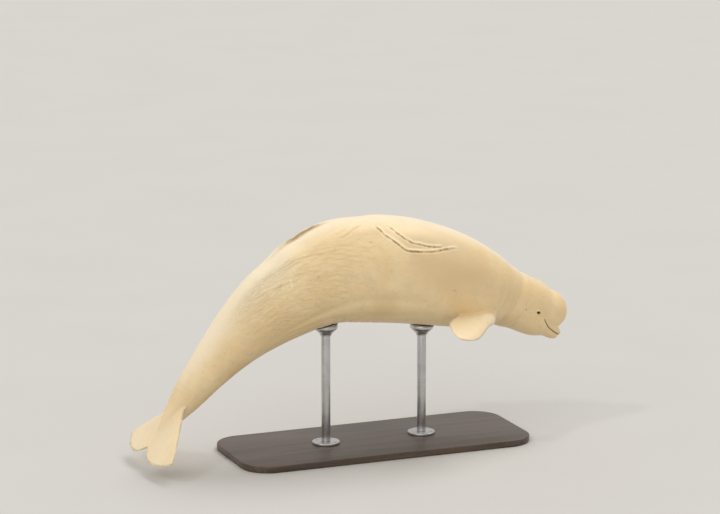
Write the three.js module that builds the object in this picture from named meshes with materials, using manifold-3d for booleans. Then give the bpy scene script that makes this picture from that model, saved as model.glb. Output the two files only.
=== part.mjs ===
// A life-size adult beluga whale, arched as it rolls at the surface, held up by a plain display stand.
// Millimetres. +X runs towards the head end, +Z is up, and the origin is the centre of the base's underside.
// The animal is shaped straight, in body coordinates: x is the distance behind the tip of the snout,
// y is to the animal's left and z is up from its axis. Each finished piece is then bent along the spine.
import * as THREE from "three";
import { mergeVertices } from "three/addons/utils/BufferGeometryUtils.js";
import Module from "manifold-3d";

const wasm = await Module();
wasm.setup();

// Driving dimensions of the animal
const BODY_LENGTH = 3500; // snout to the notch between the flukes, along the body
const GAP = 0.3; // clearance that parts two neighbouring pieces
const FLUKE_CLEARANCE = 90; // lowest point of the hanging tail above the floor

// Stations are shares of the body length. Heading is the spine's pitch towards the head, in degrees.
const HEADING = [
  [0.09, -35],
  [0.14, -30.5],
  [0.22, -22.5],
  [0.31, -15],
  [0.4, -7],
  [0.48, 3],
  [0.56, 23.5],
  [0.64, 33.5],
  [0.74, 42.5],
  [0.86, 48],
  [1.03, 45],
];

// Station, then height above and depth below the axis, half width, and how square the section is.
const SECTION = [
  [0.1, 0.067, 0.034, 0.046, 2.1],
  [0.145, 0.0635, 0.055, 0.061, 2.1],
  [0.2, 0.076, 0.077, 0.082, 2.15],
  [0.26, 0.089, 0.0915, 0.0955, 2.2],
  [0.33, 0.0975, 0.099, 0.103, 2.2],
  [0.4, 0.1015, 0.102, 0.105, 2.15],
  [0.47, 0.1015, 0.1, 0.102, 2.1],
  [0.54, 0.0955, 0.092, 0.093, 2.0],
  [0.61, 0.0855, 0.08, 0.077, 1.95],
  [0.68, 0.0735, 0.065, 0.057, 1.9],
  [0.75, 0.06, 0.049, 0.0385, 1.85],
  [0.82, 0.046, 0.0365, 0.0255, 1.85],
  [0.88, 0.0345, 0.0275, 0.018, 1.9],
  [0.93, 0.0195, 0.0155, 0.0125, 2.0],
  [0.965, 0.0035, 0.0035, 0.008, 2.0],
];

// The head's soft masses as ellipsoids: centre and radii, then how softly each melts into the rest.
const HEAD_MASSES = [
  { name: "neck", centre: [520, 0, 20], radii: [235, 202, 206], melt: 0 },
  { name: "cranium", centre: [318, 0, 60], radii: [190, 158, 174], melt: 70 },
  { name: "throat", centre: [330, 0, -48], radii: [205, 122, 80], melt: 60 },
  { name: "cheeks", centre: [250, 0, -8], radii: [150, 138, 76], melt: 40 },
  { name: "lower_jaw", centre: [143, 0, -25], radii: [131, 90, 42], melt: 22 },
  { name: "upper_jaw", centre: [130, 0, 9], radii: [130, 97, 43], melt: 16 },
  { name: "melon", centre: [184, 0, 102], radii: [148, 130, 134], melt: 20 },
];
const HEAD_ENDS = 0.115; // share of the length where the head's masses start to give way to the body
const BODY_BEGINS = 0.185;
const FAN_CENTRE = 0.09; // ahead of this share the rings open out round one point, like a fan
const FARTHEST_SKIN = 420;

// Creases and openings of the head
const MOUTH = { corner: 222, dip: 7, smile: 24, groove: 5, width: 9 };
const EYE = { x: 305, z: 40, radius: 20, sunk: 14, lidTube: 4.5, lidLength: 20, lidHeight: 13 };
const EAR = { x: 402, z: 12, radius: 4 };
const BLOWHOLE = { x: 335, radius: 34, slit: 4.5, welt: 11, halfAngle: 66, offset: 8 };
const NECK_CREASE = { x: 497, depth: 7, width: 26 };

// Where the body is parted into its named pieces, as shares of the length
const HEAD_TO_NECK = 0.132;
const NECK_TO_CHEST = 0.178;
const CHEST_TO_BELLY = 0.34;
const BELLY_TO_LOIN = 0.52;
const LOIN_TO_TAIL = 0.7;

// Fins
const RIDGE = { from: 0.492, to: 0.612, height: 19, halfWidth: 27, sunk: 16, nicks: 7 };
const FLIPPER = {
  station: 0.212,
  girthAngle: 121,
  length: 425,
  inset: 150,
  span: [-0.56, 0.68, -0.47],
  pitch: -14,
  curl: 34,
};
// Share of the flipper's length, then reach ahead of and behind its axis, and thickness
const FLIPPER_PLAN = [
  [-0.36, 62, 84, 64],
  [-0.1, 82, 102, 70],
  [0.05, 88, 108, 62],
  [0.22, 90, 112, 50],
  [0.45, 96, 126, 40],
  [0.7, 98, 128, 31],
  [0.88, 88, 108, 24],
  [1, 76, 84, 19],
];
// Distance out from the midline, then the leading and trailing edges' places and the thickness
const FLUKE_PLAN = [
  [0, 3050, 3488, 60],
  [30, 3078, 3506, 58],
  [62, 3128, 3530, 52],
  [100, 3174, 3546, 44],
  [160, 3226, 3555, 35],
  [230, 3284, 3551, 27],
  [300, 3347, 3533, 20],
  [360, 3404, 3507, 14],
  [400, 3447, 3484, 10],
  [415, 3464, 3474, 8],
];
const FLUKE_DROOP = 26;
const FLUKE_CUT = 66; // half width of the root that stays with the tail stock
const FLUKE_CUT_START = 3100;

// Stand
const BASE = { length: 2050, width: 820, height: 45, corner: 190, edge: 7 };
const ROD = { radius: 30, stations: { front: 0.3, rear: 0.565 } };
const FLANGE = { radius: 92, height: 16 };
const SADDLE = { radius: 80, neck: 38, below: 74 };

// Facets
const HEAD_SEGMENTS = 64;
const BODY_SEGMENTS = 48;
const RING_SPACING = 72;

const radians = THREE.MathUtils.degToRad;
const { clamp, smoothstep, lerp } = THREE.MathUtils;

// A smooth curve through the rows of a station table, read in one of its columns.
function through(rows, at, column) {
  const last = rows.length - 1;
  const t = clamp(at, rows[0][0], rows[last][0]);
  let i = 0;
  while (i < last - 1 && rows[i + 1][0] < t) i += 1;
  const slope = (k) => {
    const a = rows[Math.max(k - 1, 0)];
    const b = rows[Math.min(k + 1, last)];
    return (b[column] - a[column]) / (b[0] - a[0]);
  };
  const width = rows[i + 1][0] - rows[i][0];
  const u = (t - rows[i][0]) / width;
  const rise = rows[i + 1][column] - rows[i][column];
  const bend0 = slope(i) * width - rise;
  const bend1 = rise - slope(i + 1) * width;
  return rows[i][column] + rise * u + u * (1 - u) * (bend0 * (1 - u) + bend1 * u);
}

// Places along the spine, walked in short steps from the snout.
const SPINE_STEP = 5;
const SPINE_END = 1.04;
const spine = [{ x: 0, z: 0, heading: radians(HEADING[0][1]) }];
while (spine.length * SPINE_STEP < BODY_LENGTH * SPINE_END) {
  const last = spine[spine.length - 1];
  const share = ((spine.length - 0.5) * SPINE_STEP) / BODY_LENGTH;
  const middle = radians(through(HEADING, share, 1));
  const heading = radians(through(HEADING, (spine.length * SPINE_STEP) / BODY_LENGTH, 1));
  spine.push({
    x: last.x - SPINE_STEP * Math.cos(middle),
    z: last.z - SPINE_STEP * Math.sin(middle),
    heading,
  });
}

// Carries a point from straight body coordinates into the pose.
function bend(x, y, z) {
  const place = clamp(x / SPINE_STEP, 0, spine.length - 1.001);
  const a = spine[Math.floor(place)];
  const b = spine[Math.floor(place) + 1];
  const u = place - Math.floor(place);
  const heading = lerp(a.heading, b.heading, u);
  const ahead = Math.min(0, x);
  return new THREE.Vector3(
    lerp(a.x, b.x, u) - z * Math.sin(heading) - ahead * Math.cos(heading),
    y,
    lerp(a.z, b.z, u) + z * Math.cos(heading) - ahead * Math.sin(heading),
  );
}

// Height of the closed mouth's line above the axis
function mouthHeight(x) {
  const u = clamp(x / MOUTH.corner, 0, 1.2);
  return -MOUTH.dip * Math.sin(Math.PI * Math.min(u, 1)) + MOUTH.smile * u ** 4;
}

// The head's rings are guided along the mouth, so that one line of facets runs on the lips.
function guide([x, y, z]) {
  const near = Math.exp(-((z / 70) ** 2)) * (1 - smoothstep(x, MOUTH.corner, 310));
  return [x, y, z + near * mouthHeight(x)];
}

function ellipsoid(p, centre, radii) {
  const k = Math.hypot(...p.map((v, i) => (v - centre[i]) / radii[i]));
  const g = Math.hypot(...p.map((v, i) => (v - centre[i]) / radii[i] ** 2));
  return g > 0 ? (k * (k - 1)) / g : -Math.min(...radii);
}

// Signed distance to the head, below zero inside it.
function headField(p) {
  return HEAD_MASSES.reduce((far, { centre, radii, melt }) => {
    const near = ellipsoid(p, centre, radii);
    if (melt === 0) return near;
    const h = Math.max(melt - Math.abs(far - near), 0) / melt;
    return Math.min(far, near) - (h * h * melt) / 4;
  }, 0);
}

// Where a line from an inner point, laid out by one function of the distance, leaves the head
function headExit(place) {
  let inside = 0;
  let outside = FARTHEST_SKIN;
  for (let i = 0; i < 26; i += 1) {
    const middle = (inside + outside) / 2;
    if (headField(place(middle)) < 0) inside = middle;
    else outside = middle;
  }
  return inside;
}
const straight = (origin, direction) => (far) => origin.map((v, k) => v + direction[k] * far);
const headReach = (origin, direction) => headExit(straight(origin, direction));

// The lips' line and the fold behind the head are pressed into the skin by this much.
function pressedIn([x, , z]) {
  const lips = Math.exp(-(((z - mouthHeight(x)) / MOUTH.width) ** 2));
  const open = smoothstep(x, 0, 30) * (1 - smoothstep(x, MOUTH.corner - 12, MOUTH.corner + 10));
  const fold = Math.exp(-(((x - NECK_CREASE.x) / NECK_CREASE.width) ** 2));
  return MOUTH.groove * lips * open + NECK_CREASE.depth * fold;
}

function bodyReach(station, angle) {
  const up = through(SECTION, station, Math.cos(angle) > 0 ? 1 : 2);
  const side = through(SECTION, station, 3);
  const square = through(SECTION, station, 4);
  const sum =
    Math.abs(Math.cos(angle) / up) ** square + Math.abs(Math.sin(angle) / side) ** square;
  return BODY_LENGTH * sum ** (-1 / square);
}

// A point of the skin on the ring at one station, in straight body coordinates.
function skinPoint(station, angle, grow = 0) {
  const share = smoothstep(station, HEAD_ENDS, BODY_BEGINS);
  const x = station * BODY_LENGTH;
  const direction = [0, Math.sin(angle), Math.cos(angle)];
  const origin = [x, 0, 0];
  let reach = share > 0 ? bodyReach(station, angle) : 0;
  if (share < 1) reach = lerp(headReach(origin, direction), reach, share);
  reach += grow - pressedIn(straight(origin, direction)(reach));
  return new THREE.Vector3(...straight(origin, direction)(reach));
}

// A point of the skin ahead of the fan's centre, seen from there at an angle off straight ahead.
function fanPoint(opening, angle) {
  const out = Math.sin(opening);
  const direction = [-Math.cos(opening), out * Math.sin(angle), out * Math.cos(angle)];
  const ray = straight([FAN_CENTRE * BODY_LENGTH, 0, 0], direction);
  const guided = (far) => guide(ray(far));
  const reach = headExit(guided);
  return new THREE.Vector3(...guided(reach - pressedIn(guided(reach))));
}

// Joins rings of points into one closed solid. A ring of one point closes an end as a tip.
function loft(rings) {
  const points = rings.flat();
  const faces = [];
  const starts = [];
  let count = 0;
  for (const ring of rings) {
    starts.push(count);
    count += ring.length;
  }
  const joinRings = (a, b) => {
    const n = Math.max(rings[a].length, rings[b].length);
    for (let j = 0; j < n; j += 1) {
      const k = (j + 1) % n;
      const a0 = starts[a] + (rings[a].length > 1 ? j : 0);
      const a1 = starts[a] + (rings[a].length > 1 ? k : 0);
      const b0 = starts[b] + (rings[b].length > 1 ? j : 0);
      const b1 = starts[b] + (rings[b].length > 1 ? k : 0);
      if (a0 !== a1) faces.push(a0, b0, a1);
      if (b0 !== b1) faces.push(a1, b0, b1);
    }
  };
  for (let i = 0; i + 1 < rings.length; i += 1) joinRings(i, i + 1);
  const closeEnd = (i, forward) => {
    const n = rings[i].length;
    if (n === 1) return;
    const middle = rings[i].reduce((sum, p) => sum.add(p), new THREE.Vector3());
    points.push(middle.divideScalar(n));
    for (let j = 0; j < n; j += 1) {
      const a = starts[i] + j;
      const b = starts[i] + ((j + 1) % n);
      faces.push(...(forward ? [a, b, points.length - 1] : [b, a, points.length - 1]));
    }
  };
  closeEnd(0, true);
  closeEnd(rings.length - 1, false);
  return solidFrom(new Float32Array(points.flatMap((p) => p.toArray())), faces);
}

// A solid from vertices and faces, turned right way out if its faces point inwards.
function solidFrom(vertices, faces) {
  let volume = 0;
  const at = (i) => new THREE.Vector3().fromArray(vertices, faces[i] * 3);
  for (let i = 0; i < faces.length; i += 3) volume += at(i).dot(at(i + 1).cross(at(i + 2)));
  const triVerts = new Uint32Array(faces);
  if (volume < 0) triVerts.reverse();
  return new wasm.Manifold(new wasm.Mesh({ numProp: 3, vertProperties: vertices, triVerts }));
}

function solidOf(geometry) {
  const bare = new THREE.BufferGeometry();
  bare.setAttribute("position", geometry.getAttribute("position"));
  if (geometry.index) bare.setIndex(geometry.index);
  const merged = mergeVertices(bare, 1e-3);
  return solidFrom(merged.getAttribute("position").array, [...merged.index.array]);
}

function geometryOf(solid) {
  const { vertProperties, triVerts } = solid.getMesh();
  const geometry = new THREE.BufferGeometry();
  geometry.setAttribute("position", new THREE.BufferAttribute(vertProperties, 3));
  geometry.setIndex(new THREE.BufferAttribute(triVerts, 1));
  geometry.computeVertexNormals();
  return geometry;
}

// Every vertex of a solid moved by one function of its place.
function moved(solid, move) {
  const { vertProperties, triVerts } = solid.getMesh();
  const out = new Float32Array(vertProperties.length);
  for (let i = 0; i < out.length; i += 3) {
    move(vertProperties[i], vertProperties[i + 1], vertProperties[i + 2]).toArray(out, i);
  }
  return solidFrom(out, [...triVerts]);
}
const bent = (solid) => moved(solid, bend);
const mirrored = (solid) => moved(solid, (x, y, z) => new THREE.Vector3(x, -y, z));
const shifted = (solid, dx, dz) => moved(solid, (x, y, z) => new THREE.Vector3(x + dx, y, z + dz));

function largest(solid) {
  return solid.decompose().reduce((best, s) => (s.volume() > best.volume() ? s : best));
}

// Angles round a ring, closer together at the sides of the head where the lips run.
function ringAngles(segments, crowding) {
  return Array.from({ length: segments }, (_, j) => {
    const angle = (2 * Math.PI * j) / segments;
    return angle + crowding * Math.sin(2 * angle);
  });
}

function bodyRings(from, to, grow = 0) {
  const length = (to - from) * BODY_LENGTH;
  const count = Math.max(2, Math.round(length / RING_SPACING));
  return Array.from({ length: count + 1 }, (_, i) => {
    const station = lerp(from, to, i / count);
    return ringAngles(BODY_SEGMENTS, 0).map((angle) => skinPoint(station, angle, grow));
  });
}

// A length of the body between two stations, half a gap short at each end.
function bodyLength(from, to) {
  const half = GAP / 2 / BODY_LENGTH;
  return loft(bodyRings(from + half, to - half));
}

// Head: rings that open out like a fan from the snout, then plain rings back to the neck
function headSolid() {
  const crowding = 0.22;
  const angles = ringAngles(HEAD_SEGMENTS, crowding);
  const fanRings = 20;
  const plainRings = 5;
  const rings = [[fanPoint(0, 0)]];
  for (let i = 1; i < fanRings; i += 1) {
    const opening = (Math.PI / 2) * (i / fanRings) ** 1.3;
    rings.push(angles.map((angle) => fanPoint(opening, angle)));
  }
  for (let i = 0; i <= plainRings; i += 1) {
    const end = HEAD_TO_NECK - GAP / 2 / BODY_LENGTH;
    const station = lerp(FAN_CENTRE, end, i / plainRings);
    rings.push(angles.map((angle) => skinPoint(station, angle)));
  }
  return loft(rings);
}

// The point of the head's side at one place in the side view, and the skin's outward direction there.
function sidePoint(x, z) {
  const width = (px, pz) => headReach([px, 0, pz], [0, 1, 0]);
  const y = width(x, z);
  const step = 6;
  const outward = new THREE.Vector3(
    width(x - step, z) - width(x + step, z),
    2 * step,
    width(x, z - step) - width(x, z + step),
  ).normalize();
  return { point: new THREE.Vector3(x, y, z), outward };
}

// A round tube that runs back into itself, along a line given for shares from 0 to 1
function ringTube(line, radius, steps, sides) {
  const points = Array.from({ length: steps }, (_, i) => line(i / steps));
  const round = new THREE.Shape(
    Array.from({ length: sides }, (_, i) => {
      const angle = (2 * Math.PI * i) / sides;
      return new THREE.Vector2(radius * Math.cos(angle), radius * Math.sin(angle));
    }),
  );
  const extrudePath = new THREE.CatmullRomCurve3(points, true);
  return solidOf(new THREE.ExtrudeGeometry(round, { extrudePath, steps, bevelEnabled: false }));
}

// A welt that thins out to a point at both ends of a line, flattened to some share of its width
function welt(line, radius, flat) {
  const steps = 14;
  const sides = 8;
  const up = new THREE.Vector3(0, 0, 1);
  const rings = [[line(0)]];
  for (let i = 1; i < steps; i += 1) {
    const share = i / steps;
    const along = line(share + 0.01).sub(line(share - 0.01)).normalize();
    const across = new THREE.Vector3().crossVectors(along, up).normalize();
    const size = radius * Math.sin(Math.PI * share) ** 0.5;
    rings.push(
      Array.from({ length: sides }, (_, j) => {
        const angle = (2 * Math.PI * j) / sides;
        return line(share)
          .addScaledVector(across, size * Math.cos(angle))
          .addScaledVector(up, size * flat * Math.sin(angle));
      }),
    );
  }
  return loft([...rings, [line(1)]]);
}

function eyeball(radius) {
  const { point, outward } = sidePoint(EYE.x, EYE.z);
  const centre = point.clone().addScaledVector(outward, -EYE.sunk);
  const ball = new THREE.SphereGeometry(radius, 18, 10);
  ball.applyQuaternion(new THREE.Quaternion().setFromUnitVectors(new THREE.Vector3(0, 1, 0), outward));
  return solidOf(ball.translate(centre.x, centre.y, centre.z));
}

// The swollen rim of the lids, an almond ring round the eye
function lids() {
  const rim = (share) => {
    const angle = 2 * Math.PI * share;
    const x = EYE.x + EYE.lidLength * Math.cos(angle);
    const z = EYE.z + EYE.lidHeight * Math.sin(angle);
    return sidePoint(x, z).point;
  };
  return ringTube(rim, EYE.lidTube, 20, 8);
}

function earHole() {
  const { point, outward } = sidePoint(EAR.x, EAR.z);
  const hole = new THREE.OctahedronGeometry(EAR.radius, 1);
  return solidOf(hole.translate(point.x, point.y - 0.3 * EAR.radius * outward.y, point.z));
}

// The blowhole's crescent, its horns towards the snout, set a little left of the midline
function blowholeLine(share) {
  const angle = radians(lerp(-BLOWHOLE.halfAngle, BLOWHOLE.halfAngle, share));
  const x = BLOWHOLE.x - BLOWHOLE.radius * (1 - Math.cos(angle));
  const y = BLOWHOLE.offset + BLOWHOLE.radius * Math.sin(angle);
  const z = headReach([x, y, 0], [0, 0, 1]);
  return new THREE.Vector3(x, y, z);
}

// A thin blade, swept across the head, that follows the mouth and then leaves through the throat.
function mouthBlade() {
  const steps = 14;
  const line = Array.from({ length: steps + 1 }, (_, i) => {
    const x = lerp(-60, MOUTH.corner, i / steps);
    return new THREE.Vector2(x, mouthHeight(x));
  });
  line.push(new THREE.Vector2(MOUTH.corner + 46, -70), new THREE.Vector2(MOUTH.corner + 60, -260));
  const normals = line.map((p, i) => {
    const along = line[Math.min(i + 1, line.length - 1)].clone().sub(line[Math.max(i - 1, 0)]);
    return new THREE.Vector2(-along.y, along.x).normalize().multiplyScalar(GAP / 2);
  });
  const upper = line.map((p, i) => p.clone().add(normals[i]));
  const lower = line.map((p, i) => p.clone().sub(normals[i])).reverse();
  const blade = new THREE.ExtrudeGeometry(new THREE.Shape([...upper, ...lower]), {
    depth: 600,
    bevelEnabled: false,
  });
  return solidOf(blade.translate(0, 0, -300).rotateX(Math.PI / 2));
}

function headPieces() {
  const leftLids = lids();
  const socket = eyeball(EYE.radius + GAP);
  const ear = earHole();
  const rim = welt(blowholeLine, BLOWHOLE.welt, 0.5);
  const slit = shifted(welt(blowholeLine, BLOWHOLE.slit, 2.2), 0, 4);
  let head = headSolid().add(leftLids).add(mirrored(leftLids)).add(rim).subtract(slit);
  head = head.subtract(socket).subtract(mirrored(socket)).subtract(ear).subtract(mirrored(ear));
  const halves = head.subtract(mouthBlade()).decompose();
  halves.sort((a, b) => b.volume() - a.volume());
  return { head: halves[0], lowerJaw: halves[1] };
}

// The low dorsal ridge, nicked along its crest, as a strip that is rooted in the back
function ridgeSolid() {
  const steps = 26;
  const rings = Array.from({ length: steps + 1 }, (_, i) => {
    const share = i / steps;
    const station = lerp(RIDGE.from, RIDGE.to, share);
    const swell = Math.max(0.12, Math.sin(Math.PI * share) ** 0.6);
    const nick = 1 - 0.16 * Math.abs(Math.sin(Math.PI * RIDGE.nicks * share));
    const skin = skinPoint(station, 0);
    const crest = RIDGE.height * swell * nick;
    const wide = RIDGE.halfWidth * (0.35 + 0.65 * swell);
    const outline = [
      [wide, -RIDGE.sunk],
      [wide * 0.62, crest * 0.34],
      [wide * 0.24, crest * 0.9],
      [0, crest],
      [-wide * 0.24, crest * 0.9],
      [-wide * 0.62, crest * 0.34],
      [-wide, -RIDGE.sunk],
    ];
    return outline.map(([y, z]) => new THREE.Vector3(skin.x, y, skin.z + z));
  });
  return loft(rings);
}

// The left flipper, a broad paddle with its tip curled up, in the pose's own coordinates
function flipperSolid() {
  const rootSkin = skinPoint(FLIPPER.station, radians(FLIPPER.girthAngle));
  const root = bend(rootSkin.x, rootSkin.y, rootSkin.z);
  const heading = radians(through(HEADING, FLIPPER.station, 1));
  const forward = new THREE.Vector3(Math.cos(heading), 0, Math.sin(heading));
  const up = new THREE.Vector3(-Math.sin(heading), 0, Math.cos(heading));
  const left = new THREE.Vector3(0, 1, 0);
  const [back, side, rise] = FLIPPER.span;
  const span = new THREE.Vector3()
    .addScaledVector(forward, back)
    .addScaledVector(left, side)
    .addScaledVector(up, rise)
    .normalize();
  const chord = forward.clone().addScaledVector(span, -forward.dot(span)).normalize();
  chord.applyAxisAngle(span, radians(FLIPPER.pitch));
  const normal = new THREE.Vector3().crossVectors(chord, span).normalize();
  if (normal.z < 0) normal.negate();
  const steps = 17;
  const sides = 26;
  const rootShare = -FLIPPER.inset / FLIPPER.length;
  const rings = Array.from({ length: steps }, (_, i) => {
    const share = rootShare + (1 - rootShare) * Math.sin((Math.PI / 2) * (i / steps));
    const tip = clamp((share - 0.55) / 0.45, 0, 1);
    const rounding = Math.sqrt(Math.max(1 - tip ** 2.6, 0));
    const ahead = through(FLIPPER_PLAN, share, 1) * rounding;
    const behind = through(FLIPPER_PLAN, share, 2) * rounding;
    const thick = (through(FLIPPER_PLAN, share, 3) / 2) * Math.sqrt(rounding);
    const middle = root
      .clone()
      .addScaledVector(span, share * FLIPPER.length)
      .addScaledVector(normal, FLIPPER.curl * Math.max(share, 0) ** 2)
      .addScaledVector(chord, (ahead - behind) / 2);
    return Array.from({ length: sides }, (_, j) => {
      const angle = (2 * Math.PI * j) / sides;
      const blunt = 1 + 0.35 * Math.cos(angle);
      return middle
        .clone()
        .addScaledVector(chord, ((ahead + behind) / 2) * Math.cos(angle))
        .addScaledVector(normal, thick * Math.sin(angle) * blunt);
    });
  });
  const end = root
    .clone()
    .addScaledVector(span, FLIPPER.length)
    .addScaledVector(normal, FLIPPER.curl);
  return loft([...rings, [end]]);
}

// Both flukes as one swept plate, in straight body coordinates
function flukeSolid() {
  const stepsOut = 14;
  const sides = 22;
  const halfSpan = FLUKE_PLAN[FLUKE_PLAN.length - 1][0];
  const rings = [];
  for (let i = -stepsOut; i <= stepsOut; i += 1) {
    const out = Math.sin((Math.PI / 2) * (Math.abs(i) / stepsOut) ** 1.15);
    const y = Math.sign(i) * halfSpan * out;
    const lead = through(FLUKE_PLAN, Math.abs(y), 1);
    const trail = through(FLUKE_PLAN, Math.abs(y), 2);
    const thick = through(FLUKE_PLAN, Math.abs(y), 3) / 2;
    const droop = -FLUKE_DROOP * out ** 2;
    rings.push(
      Array.from({ length: sides }, (_, j) => {
        const angle = (2 * Math.PI * j) / sides;
        const x = lerp(lead, trail, (1 - Math.cos(angle)) / 2);
        const blunt = (1 + 0.55 * Math.cos(angle)) / 1.2;
        return new THREE.Vector3(x, y, droop + thick * Math.sin(angle) * blunt);
      }),
    );
  }
  return loft(rings);
}

// The space beside the stock that holds one fluke, from a root plane this far out
function besideStock(side, near) {
  const space = new THREE.BoxGeometry(1200, 600, 600);
  return solidOf(space.translate(FLUKE_CUT_START + 600, side * (near + 300), 0));
}

// The tail stock with both flukes, then parted beside the stock
function tailPieces() {
  const half = GAP / 2 / BODY_LENGTH;
  const tailEnd = SECTION[SECTION.length - 1][0];
  const whole = loft(bodyRings(LOIN_TO_TAIL + half, tailEnd)).add(flukeSolid());
  const stock = whole
    .subtract(besideStock(1, FLUKE_CUT - GAP / 2))
    .subtract(besideStock(-1, FLUKE_CUT - GAP / 2));
  return {
    leftFluke: largest(whole.intersect(besideStock(1, FLUKE_CUT + GAP / 2))),
    rightFluke: largest(whole.intersect(besideStock(-1, FLUKE_CUT + GAP / 2))),
    stock: largest(stock),
  };
}

// Stand
function baseGeometry() {
  const x = BASE.length / 2 - BASE.edge;
  const y = BASE.width / 2 - BASE.edge;
  const r = BASE.corner;
  const outline = new THREE.Shape();
  outline.absarc(x - r, y - r, r, 0, Math.PI / 2);
  outline.absarc(-x + r, y - r, r, Math.PI / 2, Math.PI);
  outline.absarc(-x + r, -y + r, r, Math.PI, 1.5 * Math.PI);
  outline.absarc(x - r, -y + r, r, 1.5 * Math.PI, 2 * Math.PI);
  const plate = new THREE.ExtrudeGeometry(outline, {
    depth: BASE.height - 2 * BASE.edge,
    bevelThickness: BASE.edge,
    bevelSize: BASE.edge,
    bevelSegments: 2,
    curveSegments: 8,
  });
  return plate.translate(0, 0, BASE.edge);
}

function turned(profile, x) {
  const points = profile.map(([r, z]) => new THREE.Vector2(r, z));
  return new THREE.LatheGeometry(points, 36).rotateX(Math.PI / 2).translate(x, 0, 0);
}

const skinMaterial = new THREE.MeshStandardMaterial({ color: 0xeee3cb, roughness: 0.45 });
const eyeMaterial = new THREE.MeshStandardMaterial({ color: 0x1c1512, roughness: 0.08 });
const ridgeMaterial = new THREE.MeshStandardMaterial({ color: 0xc3ad86, roughness: 0.5 });
const baseMaterial = new THREE.MeshStandardMaterial({ color: 0x3b3733, roughness: 0.5 });
const steelMaterial = new THREE.MeshStandardMaterial({
  color: 0xb9bbbd,
  roughness: 0.3,
  metalness: 1,
});

// The animal, in the pose's own coordinates
const { head, lowerJaw } = headPieces();
const { leftFluke, rightFluke, stock } = tailPieces();
const torsoCuts = [HEAD_TO_NECK, NECK_TO_CHEST, CHEST_TO_BELLY, BELLY_TO_LOIN, LOIN_TO_TAIL];
const torsoRings = torsoCuts.slice(1).flatMap((to, i) => {
  const rings = bodyRings(torsoCuts[i], to, GAP);
  return i === 0 ? rings : rings.slice(1);
});
const torsoCutter = bent(loft(torsoRings));
const leftFlipper = largest(flipperSolid().subtract(torsoCutter));
const rightFlipper = largest(mirrored(flipperSolid()).subtract(torsoCutter));
const animal = {
  head: [bent(head), skinMaterial],
  lower_jaw: [bent(lowerJaw), skinMaterial],
  eye_left: [bent(eyeball(EYE.radius)), eyeMaterial],
  eye_right: [bent(mirrored(eyeball(EYE.radius))), eyeMaterial],
  neck: [bent(bodyLength(HEAD_TO_NECK, NECK_TO_CHEST)), skinMaterial],
  chest: [bent(bodyLength(NECK_TO_CHEST, CHEST_TO_BELLY)), skinMaterial],
  belly: [bent(bodyLength(CHEST_TO_BELLY, BELLY_TO_LOIN)), skinMaterial],
  loin: [bent(bodyLength(BELLY_TO_LOIN, LOIN_TO_TAIL)), skinMaterial],
  tail_stock: [bent(stock), skinMaterial],
  dorsal_ridge: [largest(bent(ridgeSolid()).subtract(torsoCutter)), ridgeMaterial],
  flipper_left: [leftFlipper, skinMaterial],
  flipper_right: [rightFlipper, skinMaterial],
  fluke_left: [bent(leftFluke), skinMaterial],
  fluke_right: [bent(rightFluke), skinMaterial],
};

// The animal is moved over its base and up, until the hanging flukes just clear the floor.
const lowest = Math.min(animal.fluke_left[0].boundingBox().min[2], 0);
const lift = FLUKE_CLEARANCE - lowest;
const rodPlace = (station) => {
  const skin = skinPoint(station, Math.PI);
  return bend(skin.x, skin.y, skin.z);
};
const front = rodPlace(ROD.stations.front);
const rear = rodPlace(ROD.stations.rear);
const baseShift = -(front.x + rear.x) / 2;

const part = new THREE.Group();
const whale = new THREE.Group();
whale.position.set(baseShift, 0, lift);
part.add(whale);
for (const [name, [solid, material]] of Object.entries(animal)) {
  const mesh = new THREE.Mesh(geometryOf(solid), material);
  mesh.name = name;
  whale.add(mesh);
}

const stand = new THREE.Group();
part.add(stand);
function addStandPiece(name, geometry, material) {
  const mesh = new THREE.Mesh(geometry, material);
  mesh.name = name;
  stand.add(mesh);
}
addStandPiece("stand_base", baseGeometry(), baseMaterial);

const bellyCutter = shifted(torsoCutter, baseShift, lift);
for (const [end, foot] of Object.entries({ front, rear })) {
  const x = foot.x + baseShift;
  const belly = foot.z + lift;
  const flangeTop = BASE.height + GAP + FLANGE.height;
  const saddleFoot = belly - SADDLE.below;
  const flange = [
    [0, BASE.height + GAP],
    [FLANGE.radius, BASE.height + GAP],
    [FLANGE.radius, flangeTop - 4],
    [FLANGE.radius - 4, flangeTop],
    [0, flangeTop],
  ];
  addStandPiece(`stand_flange_${end}`, turned(flange, x), steelMaterial);
  const rod = [
    [0, flangeTop + GAP],
    [ROD.radius, flangeTop + GAP],
    [ROD.radius, saddleFoot - GAP],
    [0, saddleFoot - GAP],
  ];
  addStandPiece(`stand_rod_${end}`, turned(rod, x), steelMaterial);
  const flare = Array.from({ length: 5 }, (_, i) => [
    lerp(SADDLE.neck, SADDLE.radius, Math.sin((Math.PI / 2) * (i / 4)) ** 2),
    saddleFoot + SADDLE.below * 0.75 * (i / 4),
  ]);
  const saddle = [[0, saddleFoot], ...flare, [SADDLE.radius, belly + 120], [0, belly + 120]];
  const cup = largest(solidOf(turned(saddle, x)).subtract(bellyCutter));
  addStandPiece(`stand_saddle_${end}`, geometryOf(cup), steelMaterial);
}

export default part;
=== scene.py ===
import math

import bpy
import numpy as np
from mathutils import Matrix, Vector


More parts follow.
